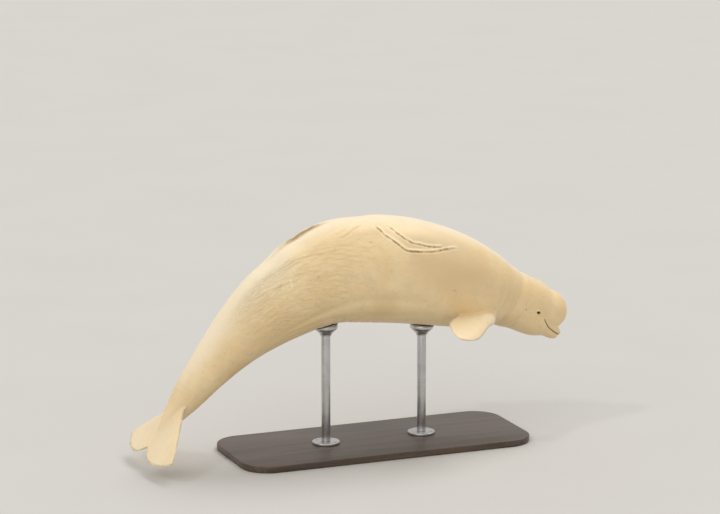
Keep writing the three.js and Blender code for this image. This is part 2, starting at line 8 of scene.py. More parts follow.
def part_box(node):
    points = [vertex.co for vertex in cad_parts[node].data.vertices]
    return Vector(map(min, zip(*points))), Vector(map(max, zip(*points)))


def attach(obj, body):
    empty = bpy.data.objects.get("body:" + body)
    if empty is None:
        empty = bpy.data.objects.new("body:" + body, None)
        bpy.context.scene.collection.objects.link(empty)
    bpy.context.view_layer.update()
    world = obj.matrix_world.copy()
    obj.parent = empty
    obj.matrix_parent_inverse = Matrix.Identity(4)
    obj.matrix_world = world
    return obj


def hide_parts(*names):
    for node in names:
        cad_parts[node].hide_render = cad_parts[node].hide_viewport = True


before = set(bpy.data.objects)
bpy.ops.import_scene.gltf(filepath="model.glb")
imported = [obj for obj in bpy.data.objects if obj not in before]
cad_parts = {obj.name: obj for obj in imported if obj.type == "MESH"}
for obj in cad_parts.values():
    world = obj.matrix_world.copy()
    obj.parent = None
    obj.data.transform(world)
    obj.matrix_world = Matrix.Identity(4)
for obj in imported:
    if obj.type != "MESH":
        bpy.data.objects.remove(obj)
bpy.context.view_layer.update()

# Length of the animal from the snout to the notch of the flukes, in metres like all other lengths here
BODY_LENGTH = 3.5

# Share of the body length from the snout, then the spine's pitch towards the head in degrees
HEADING = [
    (0.09, -35), (0.14, -30.5), (0.22, -22.5), (0.31, -15), (0.4, -7), (0.48, 3),
    (0.56, 23.5), (0.64, 33.5), (0.74, 42.5), (0.86, 48), (1.03, 45),
]

# Share of the length, height above and depth below the axis, half width, squareness of the section
SECTION = [
    (0.1, 0.067, 0.034, 0.046, 2.1),
    (0.145, 0.0635, 0.055, 0.061, 2.1),
    (0.2, 0.076, 0.077, 0.082, 2.15),
    (0.26, 0.089, 0.0915, 0.0955, 2.2),
    (0.33, 0.0975, 0.099, 0.103, 2.2),
    (0.4, 0.1015, 0.102, 0.105, 2.15),
    (0.47, 0.1015, 0.1, 0.102, 2.1),
    (0.54, 0.0955, 0.092, 0.093, 2.0),
    (0.61, 0.0855, 0.08, 0.077, 1.95),
    (0.68, 0.0735, 0.065, 0.057, 1.9),
    (0.75, 0.06, 0.049, 0.0385, 1.85),
    (0.82, 0.046, 0.0365, 0.0255, 1.85),
    (0.88, 0.0345, 0.0275, 0.018, 1.9),
    (0.93, 0.0195, 0.0155, 0.0125, 2.0),
    (0.965, 0.0035, 0.0035, 0.008, 2.0),
]

# The head's soft masses: centre, radii and how softly each melts into those before it
HEAD_MASSES = [
    ((0.520, 0, 0.020), (0.235, 0.202, 0.206), 0),       # neck
    ((0.318, 0, 0.060), (0.190, 0.158, 0.174), 0.070),   # cranium
    ((0.330, 0, -0.048), (0.205, 0.122, 0.080), 0.060),  # throat
    ((0.250, 0, -0.008), (0.150, 0.138, 0.076), 0.040),  # cheeks
    ((0.143, 0, -0.025), (0.131, 0.090, 0.042), 0.022),  # lower jaw
    ((0.130, 0, 0.009), (0.130, 0.097, 0.043), 0.016),   # upper jaw
    ((0.184, 0, 0.102), (0.148, 0.130, 0.134), 0.020),   # melon
]
HEAD_ENDS = 0.115
BODY_BEGINS = 0.185
FAN_CENTRE = 0.09
FARTHEST_SKIN = 0.42

MOUTH_CORNER = 0.222
MOUTH_DIP = 0.007
MOUTH_SMILE = 0.024
EYE_PLACE = (0.305, 0.040)
EYE_RADIUS = 0.020
EYE_SUNK = 0.014
EYE_TILT = 8
LID_OPENING = (0.0150, 0.0092)
LID_THICKNESS = 0.0016
LID_MELT = 0.0110
# Folds round the lids: how many openings out, width and depth
LID_FOLDS = [(1.80, 0.17, 0.0014), (2.45, 0.20, 0.0010), (3.2, 0.25, 0.0007)]
EAR_PLACE = (0.402, 0.012)
BLOWHOLE = {"x": 0.335, "radius": 0.034, "half_angle": 66, "offset": 0.008}
NECK_CREASE = {"x": 0.497, "depth": 0.007, "width": 0.026}
RIDGE = {"from": 0.492, "to": 0.612, "height": 0.019, "half_width": 0.023, "nicks": 7}

FLIPPER = {
    "station": 0.212, "girth": 121, "length": 0.425, "inset": 0.150,
    "span": (-0.56, 0.68, -0.47), "pitch": -14, "curl": 0.034,
}
# Share of the flipper's length, then reach ahead of and behind its axis, and thickness
FLIPPER_PLAN = [
    (-0.36, 0.062, 0.084, 0.064),
    (-0.1, 0.082, 0.102, 0.070),
    (0.05, 0.088, 0.108, 0.062),
    (0.22, 0.090, 0.112, 0.050),
    (0.45, 0.096, 0.126, 0.040),
    (0.7, 0.098, 0.128, 0.031),
    (0.88, 0.088, 0.108, 0.024),
    (1, 0.076, 0.084, 0.019),
]

# Distance out from the midline, then the flukes' leading and trailing edges and their thickness
FLUKE_PLAN = [
    (0, 3.050, 3.488, 0.060),
    (0.030, 3.078, 3.506, 0.058),
    (0.062, 3.128, 3.530, 0.052),
    (0.100, 3.174, 3.546, 0.044),
    (0.160, 3.226, 3.555, 0.035),
    (0.230, 3.284, 3.551, 0.027),
    (0.300, 3.347, 3.533, 0.020),
    (0.360, 3.404, 3.507, 0.014),
    (0.400, 3.447, 3.484, 0.010),
    (0.415, 3.464, 3.474, 0.008),
]
FLUKE_DROOP = 0.026

# Marks of this animal's right flank: station and girth angle from the back's middle, in degrees
SCAR_LOWER = [
    (0.447, -24.5), (0.4425, -34), (0.4375, -41), (0.429, -47), (0.419, -53.1), (0.409, -58.3),
    (0.4015, -60.2), (0.388, -60.5), (0.371, -59.9), (0.3535, -58.5), (0.34, -56.2), (0.324, -52.8),
    (0.297, -46.8),
]
SCAR_UPPER = [
    (0.4285, -26.5), (0.42, -34.5), (0.413, -41.2), (0.404, -46.6), (0.393, -51), (0.3788, -52.4),
    (0.3675, -53.6), (0.3505, -53.2), (0.333, -51.5),
]
PALE_SCRATCH = [(0.6015, -49), (0.6065, -61.5)]
# The flank's main fold as such a line, then its other folds and the back's wrinkles, each with its depth
FLANK_FOLD = [
    (0.672, -17.5), (0.6395, -24.8), (0.614, -29.6), (0.595, -32.3), (0.577, -34.5), (0.5626, -38.8),
    (0.551, -41.3), (0.5385, -46.5), (0.527, -48.8), (0.508, -53.5),
]
SIDE_FOLDS = [
    ([(0.674, -20.5), (0.6395, -27.6), (0.605, -34.3), (0.582, -39), (0.566, -44)], 0.0036),
    ([(0.661, -19.8), (0.628, -25.5), (0.603, -29), (0.581, -31), (0.566, -34.5)], 0.0030),
    ([(0.64, -20), (0.617, -24.3), (0.594, -28.3), (0.581, -30.8)], 0.0022),
    ([(0.556, -48), (0.538, -60.7), (0.5166, -69.7), (0.494, -77)], 0.0016),
    ([(0.588, -46), (0.565, -58.3), (0.5416, -71.5), (0.5176, -80.5)], 0.0016),
    ([(0.5226, -41.8), (0.5, -49), (0.4815, -54.8), (0.458, -59)], 0.0012),
]
BACK_WRINKLES = [
    ([(0.512, -37.5), (0.499, -35.3), (0.4875, -30.6), (0.477, -25.3), (0.464, -18.2)], 0.0056),
    ([(0.511, -31.1), (0.4995, -25.8), (0.4837, -19.8)], 0.0030),
    ([(0.5245, -26), (0.512, -21), (0.502, -17)], 0.0014),
]
# Spots: station, girth angle and size
SPOTS = [
    (0.6225, -49.5, 0.0085), (0.5615, -69, 0.006), (0.465, -49, 0.0055), (0.39, 40, 0.008),
    (0.55, 62, 0.010), (0.30, -96, 0.005), (0.24, 52, 0.008), (0.70, 40, 0.007),
]
OCHRE_SPOTS = [(0.351, -53.2, 0.009), (0.327, -52.8, 0.012), (0.362, -59.5, 0.007), (0.402, -60.4, 0.006)]

# The rear flanks' wrinkled zone: stations where it begins, girths where it fades in below the crest and
# how far those draw up at the rear, girths where it ends at the belly, and the left side's share
WRINKLE_ZONE = ((0.39, 0.52), (18, 44), (9, 14), (96, 125), 0.75)
CRINKLE_ZONE = ((0.385, 0.53), (16, 42), (8, 14), (100, 130), 0.7)

# Where the back lies a little lower than its solid: station, spread and depth
BACK_HOLLOWS = [(0.612, 0.026, 0.012), (0.554, 0.016, 0.008), (0.457, 0.025, 0.010)]
# The blubber's slow unevenness as sine waves: turns along x, y and z, phase and share
BLUBBER_WAVES = [
    ((9.1, 4.0, 0), 1.0, 1),
    ((6.3, 0, -11.0), 2.1, 1),
    ((14.7, -6.0, 9.0), 0, 0.8),
    ((23.0, -17.0, 12.0), 0.7, 0.5),
]
# Folds round the throat: station, depth, width and how far the fold leans back towards its top
THROAT_FOLDS = [
    (0.152, 0.0056, 0.008, 0.020), (0.168, 0.0048, 0.007, 0.026),
    (0.186, 0.0038, 0.008, 0.030), (0.118, 0.0030, 0.007, 0.012),
]
# Folds behind the mouth's corner: place, lean and the level it leans from, width, middle, height, depth
CHEEK_FOLDS = [
    (0.250, 0.25, 0.02, 0.0065, 0, 0.030, 0.0030),
    (0.268, 0.35, 0.02, 0.0065, -0.012, 0.034, 0.0026),
    (0.289, 0.45, 0.01, 0.0070, -0.024, 0.034, 0.0018),
]
# Stations of the squeezed belly's cross folds
BELLY_FOLDS = (0.44, 0.475, 0.505, 0.533, 0.562, 0.594)
# The long fat folds beside them: girth, how far that sways, turns, phase, width and depth
FAT_FOLDS = [(118, 5, 3.0, 0, 5.5, 0.006), (134, 4, 4.1, 1, 4.5, 0.0035)]
# Marks under the belly and creases of the tail, as distances behind the snout
# A slit has four of them, from where it starts over where it is full and where it fades to its end.
NAVEL = 1.645
SLIT = (2.28, 2.31, 2.43, 2.46)
SIDE_SLIT = (2.33, 2.35, 2.39, 2.41)
ANUS = 2.495
TAIL_CREASES = (3.02, 3.055, 3.088, 3.118)

# The mesh
RING_POINTS = 704
FLIPPER_RINGS = 130
FLIPPER_SIDES = 176
FLUKE_RINGS = 150
FLUKE_SIDES = 150
EYE_RINGS = 64
EYE_SIDES = 96
STAND_SIDES = 96

# The flat map of the skin is this many metres wide for each radian of girth.
GIRTH_RADIUS = 0.34

# Fineness of lines, noise and spine, and of the searches for the head's surface and the spine's nearest place
LINE_POINTS = 90
LATTICE = 128
SPINE_STEP = 0.005
HEAD_HALVINGS = 18
SPINE_STRIDE = 8
SPINE_ROUNDS = 12
# Points worked on at once, which limits the memory that a search takes
SPINE_CHUNK = 60000
FILLET_CHUNK = 4000

# Fillets of the fins' roots: distances from the joint where they are full and where they end
FLIPPER_FILLET = (0.012, 0.048)
FLUKE_FILLET = (0.006, 0.034)
FILLET_ROUNDS = 60
# A fin's points this close to the body's own surface, and not as far back as this, lie on its joint.
JOINT_REACH = 0.004
FLUKES_FREE = 3.36


# Small helpers
def smoothstep(value, low, high):
    """From 0 at low to 1 at high, with soft ends."""
    share = np.clip((value - low) / (high - low), 0, 1)
    return share * share * (3 - 2 * share)


def fall(value, low, high):
    """From 1 at low to 0 at high, with soft ends."""
    return 1 - smoothstep(value, low, high)


def plateau(value, start, full, fades, end):
    """Rises from 0 at start to 1 at full, and falls again from fades to end."""
    return smoothstep(value, start, full) * fall(value, fades, end)


def bell(distance, width):
    """1 where the distance is 0, and almost 0 at twice the width."""
    return np.exp(-((distance / width) ** 2))


def blend(low, high, share):
    return low + (high - low) * share


def circle(count):
    """Angles spread evenly over a full turn."""
    return np.linspace(0, 2 * np.pi, count, endpoint=False)


def split(p):
    """The x, y and z of points."""
    return np.moveaxis(p, -1, 0)


def on_left(p):
    """Points with those of the right side mirrored to the left."""
    x, y, z = split(p)
    return np.stack([x, np.abs(y), z], -1)


def signed_girth(p):
    """Degrees round the body from the middle of the back, above zero on the left."""
    return np.degrees(np.arctan2(p[..., 1], p[..., 2]))


def station_and_girth(p):
    """Share of the body length behind the snout, and degrees from the middle of the back."""
    return p[..., 0] / BODY_LENGTH, np.abs(signed_girth(p))


def through(rows, at, column=1):
    """A smooth curve through one column of a table of stations."""
    table = np.asarray(rows, float)
    x, y = table[:, 0], table[:, column]
    before = np.maximum(np.arange(len(x)) - 1, 0)
    after = np.minimum(np.arange(len(x)) + 1, len(x) - 1)
    slope = (y[after] - y[before]) / (x[after] - x[before])
    t = np.clip(at, x[0], x[-1])
    i = np.clip(np.searchsorted(x, t) - 1, 0, len(x) - 2)
    width = x[i + 1] - x[i]
    u = (t - x[i]) / width
    rise = y[i + 1] - y[i]
    start = slope[i] * width - rise
    end = rise - slope[i + 1] * width
    return y[i] + rise * u + u * (1 - u) * (start * (1 - u) + end * u)


# The spine and the pose
spine_count = int(round(BODY_LENGTH * 1.04 / SPINE_STEP))
spine_heading = np.radians(through(HEADING, np.arange(spine_count) * SPINE_STEP / BODY_LENGTH))
step_heading = np.radians(through(HEADING, (np.arange(1, spine_count) - 0.5) * SPINE_STEP / BODY_LENGTH))
spine_x = np.concatenate([[0], -np.cumsum(SPINE_STEP * np.cos(step_heading))])
spine_z = np.concatenate([[0], -np.cumsum(SPINE_STEP * np.sin(step_heading))])


def spine_at(x):
    """The spine's place and heading at a distance behind the snout."""
    place = np.clip(x / SPINE_STEP, 0, spine_count - 1.001)
    i = place.astype(int)
    return [blend(row[i], row[i + 1], place - i) for row in (spine_x, spine_z, spine_heading)]


def bend(p):
    """Carries points from straight body coordinates into the pose."""
    x, y, z = split(p)
    sx, sz, heading = spine_at(x)
    ahead = np.minimum(0, x)
    return np.stack([
        sx - z * np.sin(heading) - ahead * np.cos(heading),
        y,
        sz + z * np.cos(heading) - ahead * np.sin(heading),
    ], -1)


def unbend(p):
    """Straight body coordinates of points in the pose."""
    coarse = np.arange(0, spine_count, SPINE_STRIDE)
    best = np.zeros(len(p))
    for i in range(0, len(p), SPINE_CHUNK):
        part = p[i:i + SPINE_CHUNK]
        far = (part[:, :1] - spine_x[coarse]) ** 2 + (part[:, 2:] - spine_z[coarse]) ** 2
        best[i:i + SPINE_CHUNK] = coarse[far.argmin(1)] * SPINE_STEP

    def seen_from(x):
        """How far ahead of the spine's place at x and above it each point lies."""
        sx, sz, heading = spine_at(x)
        right, up = p[:, 0] - sx, p[:, 2] - sz
        cos, sin = np.cos(heading), np.sin(heading)
        return right * cos + up * sin, up * cos - right * sin

    for _ in range(SPINE_ROUNDS):
        best = np.clip(best - 0.8 * seen_from(best)[0], 0, (spine_count - 1.01) * SPINE_STEP)
    ahead, above = seen_from(best)
    return np.stack([best - ahead, p[:, 1], above], -1)


# The body's plain form
def mouth_height(x):
    """Height of the closed mouth's line above the axis."""
    u = np.clip(x / MOUTH_CORNER, 0, 1.2)
    return -MOUTH_DIP * np.sin(np.pi * np.minimum(u, 1)) + MOUTH_SMILE * u ** 4


def guide(p):
    """Leads the head's rings along the mouth, so that one line of the mesh runs on the lips."""
    x, y, z = split(p)
    near = bell(z, 0.070) * fall(x, MOUTH_CORNER, 0.310)
    return np.stack([x, y, z + near * mouth_height(x)], -1)


def head_field(p):
    """Signed distance to the head, below zero inside it."""
    far = None
    for centre, radii, melt in HEAD_MASSES:
        scaled = (p - np.array(centre)) / np.array(radii)
        size = np.linalg.norm(scaled, axis=-1)
        near = size * (size - 1) / np.maximum(np.linalg.norm(scaled / np.array(radii), axis=-1), 1e-9)
        if far is None:
            far = near
            continue
        joint = np.maximum(melt - np.abs(far - near), 0) / melt
        far = np.minimum(far, near) - joint * joint * melt / 4
    return far


def head_exit(place, shape):
    """How far rays laid out by place(distance) run before they leave the head."""
    inside = np.zeros(shape)
    outside = np.full(shape, FARTHEST_SKIN)
    for _ in range(HEAD_HALVINGS):
        middle = (inside + outside) / 2
        within = head_field(place(middle)) < 0
        inside = np.where(within, middle, inside)
        outside = np.where(within, outside, middle)
    return inside


def body_reach(station, angle):
    """Distance from the axis to the surface of the plain body, which has no head."""
    above, below, side, square = (through(SECTION, station, i) for i in (1, 2, 3, 4))
    tall = np.where(np.cos(angle) > 0, above, below)
    total = np.abs(np.cos(angle) / tall) ** square + np.abs(np.sin(angle) / side) ** square
    return BODY_LENGTH * total ** (-1 / square)


def ring_points(stations, angles):
    """Rings of the skin at stations behind the fan's centre."""
    x, turn = np.meshgrid(stations * BODY_LENGTH, angles, indexing="ij")
    direction = np.stack([0 * turn, np.sin(turn), np.cos(turn)], -1)
    origin = np.stack([x, 0 * x, 0 * x], -1)
    reach = body_reach(x / BODY_LENGTH, turn)
    near = stations < BODY_BEGINS
    head = head_exit(lambda far: origin[near] + direction[near] * far[..., None], reach[near].shape)
    reach[near] = blend(head, reach[near], smoothstep(x[near] / BODY_LENGTH, HEAD_ENDS, BODY_BEGINS))
    return origin + direction * reach[..., None]


def fan_points(openings, angles):
    """Rings of the skin ahead of the fan's centre, which open out from straight ahead."""
    opening, turn = np.meshgrid(openings, angles, indexing="ij")
    wide = np.sin(opening)
    direction = np.stack([-np.cos(opening), wide * np.sin(turn), wide * np.cos(turn)], -1)
    origin = np.array([FAN_CENTRE * BODY_LENGTH, 0, 0])
    reach = head_exit(lambda far: guide(origin + direction * far[..., None]), turn.shape)
    return guide(origin + direction * reach[..., None])


def head_side(x, z):
    """The head's left side at a place of the side view, and its outward direction there."""
    def width(px, pz):
        start = np.array([px, 0, pz])
        return float(head_exit(lambda far: start + np.array([0, 1, 0]) * far[..., None], (1,))[0])

    step = 0.006
    outward = Vector((
        width(x - step, z) - width(x + step, z),
        2 * step,
        width(x, z - step) - width(x, z + step),
    )).normalized()
    return np.array([x, width(x, z), z]), np.array(outward)


# Lines and noise on the skin
def flat_places(p):
    """Distance behind the snout and distance round the girth, as a flat map of the skin."""
    return np.stack([p[..., 0], np.arctan2(p[..., 1], p[..., 2]) * GIRTH_RADIUS], -1)


def on_map(points):
    """Places on the flat map of stations and girth angles."""
    station, girth = np.transpose(points)
    return np.stack([station * BODY_LENGTH, np.radians(girth) * GIRTH_RADIUS], -1)


def skin_line(points, wobble, seed):
    """A smooth line over the flat map through stations and girth angles, with a natural unsteadiness."""
    table = np.column_stack([np.arange(len(points)), on_map(points)])
    at = np.linspace(0, len(points) - 1, LINE_POINTS)
    line = np.stack([through(table, at, 1), through(table, at, 2)], -1)
    rng = np.random.default_rng(seed)
    for pitch in (5, 11, 23):
        phase = rng.uniform(0, 2 * np.pi, 2)
        line += np.sin(np.linspace(0, pitch * 2, LINE_POINTS)[:, None] + phase) * wobble / math.sqrt(pitch)
    return line


def line_distance(places, line, reach):
    """Distance from places on the flat map to a line, the share along it, and the side, 1 or -1."""
    distance = np.ones(places.shape[:-1])
    along = np.zeros_like(distance)
    side = np.ones_like(distance)
    near = np.all((places > line.min(0) - reach) & (places < line.max(0) + reach), axis=-1)
    close = places[near]
    best, where, hand = distance[near], along[near], side[near]
    for i, (start, end) in enumerate(zip(line[:-1], line[1:])):
        run = end - start
        share = np.clip(((close - start) @ run) / (run @ run), 0, 1)
        off = close - (start + share[:, None] * run)
        far = np.linalg.norm(off, axis=1)
        closer = far < best
        best = np.where(closer, far, best)
        where = np.where(closer, (i + share) / (len(line) - 1), where)
        hand = np.where(closer, np.sign(off[:, 0] * run[1] - off[:, 1] * run[0]), hand)
    distance[near], along[near], side[near] = best, where, hand
    return distance, along, side


def faded(along, ends):
    return plateau(along, 0, ends, 1 - ends, 1)


def crease(places, points, depth, width, wobble, seed):
    """A soft groove along a line, with one lip a little higher."""
    distance, along, side = line_distance(places, skin_line(points, wobble, seed), 0.06)
    lip = 0.35 * bell(distance - 1.6 * width, width) * (side > 0)
    return depth * (lip - bell(distance, width)) * faded(along, 0.25)


def lattice_noise(u, v, seed):
    """Smooth noise from -1 to 1 over a plane, with waves about one unit long."""
    table = np.random.default_rng(seed).uniform(-1, 1, (LATTICE, LATTICE))
    i, j = np.floor(u).astype(int), np.floor(v).astype(int)
    across, up = smoothstep(u - i, 0, 1), smoothstep(v - j, 0, 1)
    rows = [
        blend(table[i % LATTICE, row % LATTICE], table[(i + 1) % LATTICE, row % LATTICE], across)
        for row in (j, j + 1)
    ]
    return blend(*rows, up)


# Relief of the skin: each function gives heights, below zero inwards
def flank_zone(p, zone):
    """How fully each place lies in a wrinkled zone of the rear flanks."""
    front, crest, drawn, belly, left = zone
    station, girth = station_and_girth(p)
    rear = smoothstep(station, 0.55, 0.63)
    share = plateau(station, *front, 0.66, 0.80) * fall(girth, *belly)
    share *= smoothstep(girth, crest[0] - drawn[0] * rear, crest[1] - drawn[1] * rear)
    return share * np.where(p[..., 1] > 0, left, 1)


def flank_wrinkles(p):
    """Fine slanting wrinkles of the rear flanks: height, how strongly they show, and their lie."""
    station, girth = station_and_girth(p)
    x = p[..., 0]
    side = 40 * (p[..., 1] > 0)
    turned = 0.35 * station + 0.013 * np.log1p(np.exp((station - 0.515) / 0.02))
    across = 100 * (turned + 0.2 * np.log(45 + 5 * girth))
    across = across + 0.55 * lattice_noise(x / 0.035, girth / 4.5 + side, 33)
    along = x / 0.11
    where = flank_zone(p, WRINKLE_ZONE)
    where *= 0.45 + 0.55 * smoothstep(lattice_noise(x / 0.22, girth / 16 + side, 36), -0.5, 0.5)
    fine = lattice_noise(across * 1.05, along * 0.95 + side, 31)
    broad = lattice_noise(across * 0.6, along * 0.7 + side, 32)
    long = lattice_noise(across * 1.1, along * 0.30 + side, 35)
    rear = smoothstep(station, 0.545, 0.60)
    lines = bell(fine, 0.19) * (1 - 0.35 * rear)
    runs = bell(long, 0.13) * (0.15 + 0.85 * rear)
    height = -0.0017 * lines - 0.0016 * runs - 0.0006 * (1 + broad)
    shown = np.maximum(0.75 * lines, 0.7 * runs)
    return height * where, shown * where, np.stack([across, along + side, 0 * along], -1)


def back_hollows(p):
    station, girth = station_and_girth(p)
    depth = sum(deep * bell(station - centre, spread) for centre, spread, deep in BACK_HOLLOWS)
    return -depth * fall(girth, 30, 78)


def soft_waves(p):
    wave = sum(share * np.sin(p @ np.array(turns) + phase) for turns, phase, share in BLUBBER_WAVES)
    return 0.0011 * (wave / 3.3 - 1) * smoothstep(p[..., 0], 0.45, 0.8)


def neck_and_throat(p):
    x, girth = p[..., 0], np.abs(signed_girth(p))
    shown = smoothstep(girth, 50, 95) * (1 - 0.6 * smoothstep(girth, 150, 180))
    depth = NECK_CREASE["depth"] * bell(x - NECK_CREASE["x"], NECK_CREASE["width"])
    for station, deep, wide, lean in THROAT_FOLDS:
        centre = station * BODY_LENGTH + lean * np.cos(np.radians(girth)) + 0.004 * np.sin(girth / 9)
        depth += deep * bell(x - centre, wide) * shown
    return -depth


def belly_folds(p):
    """Soft cross folds where the belly is squeezed, and the long fat folds beside it."""
    x, signed = p[..., 0], signed_girth(p)
    girth = np.abs(signed)
    depth = 0 * x
    for i, station in enumerate(BELLY_FOLDS):
        centre = station * BODY_LENGTH + 0.012 * np.sin(signed / 17 + i * 1.9)
        depth += 0.0042 * bell(x - centre, 0.013 + 0.002 * (i % 3)) * smoothstep(girth, 122, 150)
    run = plateau(x / BODY_LENGTH, 0.30, 0.40, 0.60, 0.72)
    for middle, sway, turns, phase, wide, deep in FAT_FOLDS:
        depth += deep * bell(girth - (middle + sway * np.sin(x * turns + phase)), wide) * run
    return -depth


def underside_marks(p):
    """Navel, genital slit, the two small slits beside it, and the anus."""
    x, y, z = split(p)
    depth = 0.006 * bell(np.hypot(x - NAVEL, 1.6 * y), 0.020)
    depth += 0.008 * bell(y, 0.0045) * plateau(x, *SLIT)
    depth += 0.006 * bell(np.hypot(x - ANUS, y), 0.009)
    depth += 0.004 * bell(np.abs(y) - 0.045, 0.004) * plateau(x, *SIDE_SLIT)
    return -depth * smoothstep(-z, 0.03, 0.08)


def tail_creases(p):
    x, z = p[..., 0], p[..., 2]
    depth = 0 * x
    for i, place in enumerate(TAIL_CREASES):
        depth += 0.0018 * bell(x - place - 0.25 * np.abs(z) - 0.003 * np.sin(40 * z + i), 0.0055)
    return -depth * smoothstep(np.abs(z), 0.02, 0.05)


def ridge_parts(p):
    """The share along the ridge, how swollen it is there, and how many half widths off its crest."""
    share = np.clip((p[..., 0] / BODY_LENGTH - RIDGE["from"]) / (RIDGE["to"] - RIDGE["from"]), 0, 1)
    swell = np.sin(np.pi * share) ** 0.85
    return share, swell, np.abs(p[..., 1]) / (RIDGE["half_width"] * (0.35 + 0.65 * swell))


def ridge_height(p):
    """The low dorsal ridge, nicked along its crest, with a crease along its foot."""
    share, swell, off = ridge_parts(p)
    nick = 1 - 0.2 * np.abs(np.sin(np.pi * RIDGE["nicks"] * share + 0.6 * np.sin(9 * share))) ** 3
    crest = np.maximum(1 - off ** 1.5, 0) ** 1.3
    return (RIDGE["height"] * nick * crest - 0.003 * bell(off - 1.12, 0.16)) * swell * (p[..., 2] > 0)


def mouth_relief(p):
    x, z = p[..., 0], p[..., 2]
    off = z - mouth_height(x)
    run = fall(x, MOUTH_CORNER - 0.010, MOUTH_CORNER + 0.012)
    lips = 0.0016 * (bell(off - 0.0085, 0.0045) + bell(off + 0.0085, 0.0045))
    groove = 0.0026 * bell(off, 0.009) + 0.0060 * bell(off, 0.0022)
    tuck = 0.0022 * bell(np.hypot(x - MOUTH_CORNER - 0.006, off), 0.009)
    return ((lips - groove) * run - tuck) * (0.4 + 0.6 * smoothstep(x, 0.0, 0.02))


def jaw_and_melon_folds(p):
    """Soft folds under the chin, behind the mouth's corner and between melon and beak."""
    x, y, z = split(on_left(p))
    depth = 0 * x
    for place, lean, level, wide, middle, tall, deep in CHEEK_FOLDS:
        depth += deep * bell(x - place - lean * (z - level), wide) * bell(z - middle, tall)
    depth *= smoothstep(y, 0.040, 0.075)
    throat = smoothstep(-z, 0.03, 0.06) * plateau(x, 0.14, 0.19, 0.25, 0.31)
    depth += 0.0032 * bell(y - 0.032, 0.0065) * throat
    melon = bell(x - 0.318 + 0.4 * np.maximum(y - 0.05, 0), 0.012) * smoothstep(z, 0.10, 0.19)
    return -depth - 0.0020 * melon


def blowhole_parts(p):
    """Distance across the blowhole's crescent, how fully it is there, and distance from its plug."""
    x, y, z = split(p)
    behind = x - BLOWHOLE["x"] + BLOWHOLE["radius"]
    aside = y - BLOWHOLE["offset"]
    across = np.hypot(behind, aside) - BLOWHOLE["radius"]
    angle = np.degrees(np.abs(np.arctan2(aside, behind)))
    run = fall(angle, BLOWHOLE["half_angle"] - 18, BLOWHOLE["half_angle"] + 4) * (z > 0.1)
    return across, run, np.hypot(behind - 0.004, aside)


def blowhole_relief(p):
    across, run, plug = blowhole_parts(p)
    welt = 0.0050 * bell(across - 0.002, 0.010) + 0.0012 * bell(across - 0.022, 0.007)
    slit = 0.0120 * bell(across, 0.0026)
    return (welt - slit) * run + 0.0016 * bell(plug, 0.024) * (p[..., 2] > 0.1)


def ear_distance(p):
    return np.hypot(p[..., 0] - EAR_PLACE[0], p[..., 2] - EAR_PLACE[1])


def ear_holes(p):
    return -0.0045 * bell(ear_distance(p), 0.0032) - 0.0012 * bell(ear_distance(p), 0.012)


def flank_scars(places):
    """The two old healed gashes on the right flank: height, dark core and pale raised border. The core is the
    scars' own ochre and painted shade in the gash; the border is a painted highlight on the welts.
    """
    height = np.zeros(places.shape[:-1])
    core = np.zeros_like(height)
    border = np.zeros_like(height)
    for seed, points, strength in ((5, SCAR_LOWER, 1.0), (9, SCAR_UPPER, 0.85)):
        distance, along, side = line_distance(places, skin_line(points, 0.0016, seed), 0.05)
        run = faded(along, 0.05) * strength
        zero = 0 * along
        uneven = lattice_noise(along * 30 + seed, zero, seed) + 0.7 * lattice_noise(along * 77, zero, seed)
        beads = np.clip(0.58 + 0.80 * uneven, 0.12, 1)
        signed = distance * side + 0.0016 * lattice_noise(along * 37, zero, seed + 1)
        welt = bell(signed - 0.0090, 0.0062) * (0.75 + 0.25 * beads)
        lower_lip = bell(signed + 0.0125, 0.0042)
        gash = bell(signed + 0.001, 0.0046) * beads
        height += (0.0046 * welt + 0.0014 * lower_lip * beads - 0.0046 * gash) * run
        core = np.maximum(core, bell(signed + 0.0030, 0.0072) * run * (0.36 + 0.64 * beads))
        border = np.maximum(border, np.maximum(welt, 0.5 * lower_lip) * run)
    return height, core, border


def flank_folds(places):
    """The long folds of the right flank, the small wrinkles on the back, and the left flank's own."""
    height = np.zeros(places.shape[:-1])
    for i, (points, deep) in enumerate([(FLANK_FOLD, 0.0044)] + SIDE_FOLDS + BACK_WRINKLES):
        height += crease(places, points, deep, 0.0068 if deep > 0.002 else 0.0054, 0.003, 12 + i)
    mirror = places * np.array([1, -1])
    for i, (points, deep) in enumerate([(FLANK_FOLD, 0.0040)] + SIDE_FOLDS):
        shifted = [(s - 0.006, g - 5 + 3 * math.sin(i)) for s, g in points]
        height += crease(mirror, shifted, deep, 0.0075, 0.004, 32 + i)
    return height


RELIEF = (
    soft_waves, back_hollows, neck_and_throat, belly_folds, underside_marks, tail_creases, ridge_height,
    mouth_relief, jaw_and_melon_folds, blowhole_relief, ear_holes,
)


# The eyes and their lids
def eye_frame():
    """The left eye's place on the skin and the directions back, up and out, in straight coordinates."""
    point, outward = head_side(*EYE_PLACE)
    back = np.cross(np.array([0, 0, 1.0]), outward)
    back *= np.sign(back[0]) / np.linalg.norm(back)
    up = np.cross(outward, back)
    up *= np.sign(up[2])
    tilt = math.radians(EYE_TILT)
    back, up = back * math.cos(tilt) - up * math.sin(tilt), up * math.cos(tilt) + back * math.sin(tilt)
    return point, back, up, outward


EYE_POINT, EYE_BACK, EYE_UP, EYE_OUT = eye_frame()


def lid_opening(back, up):
    """Below 1 inside the almond between the lids, above 1 outside it."""
    long, high = LID_OPENING
    taper = np.sqrt(np.maximum(1 - (back / (long * 1.28)) ** 2, 0.02))
    return np.hypot(back / long, up / (high * taper))


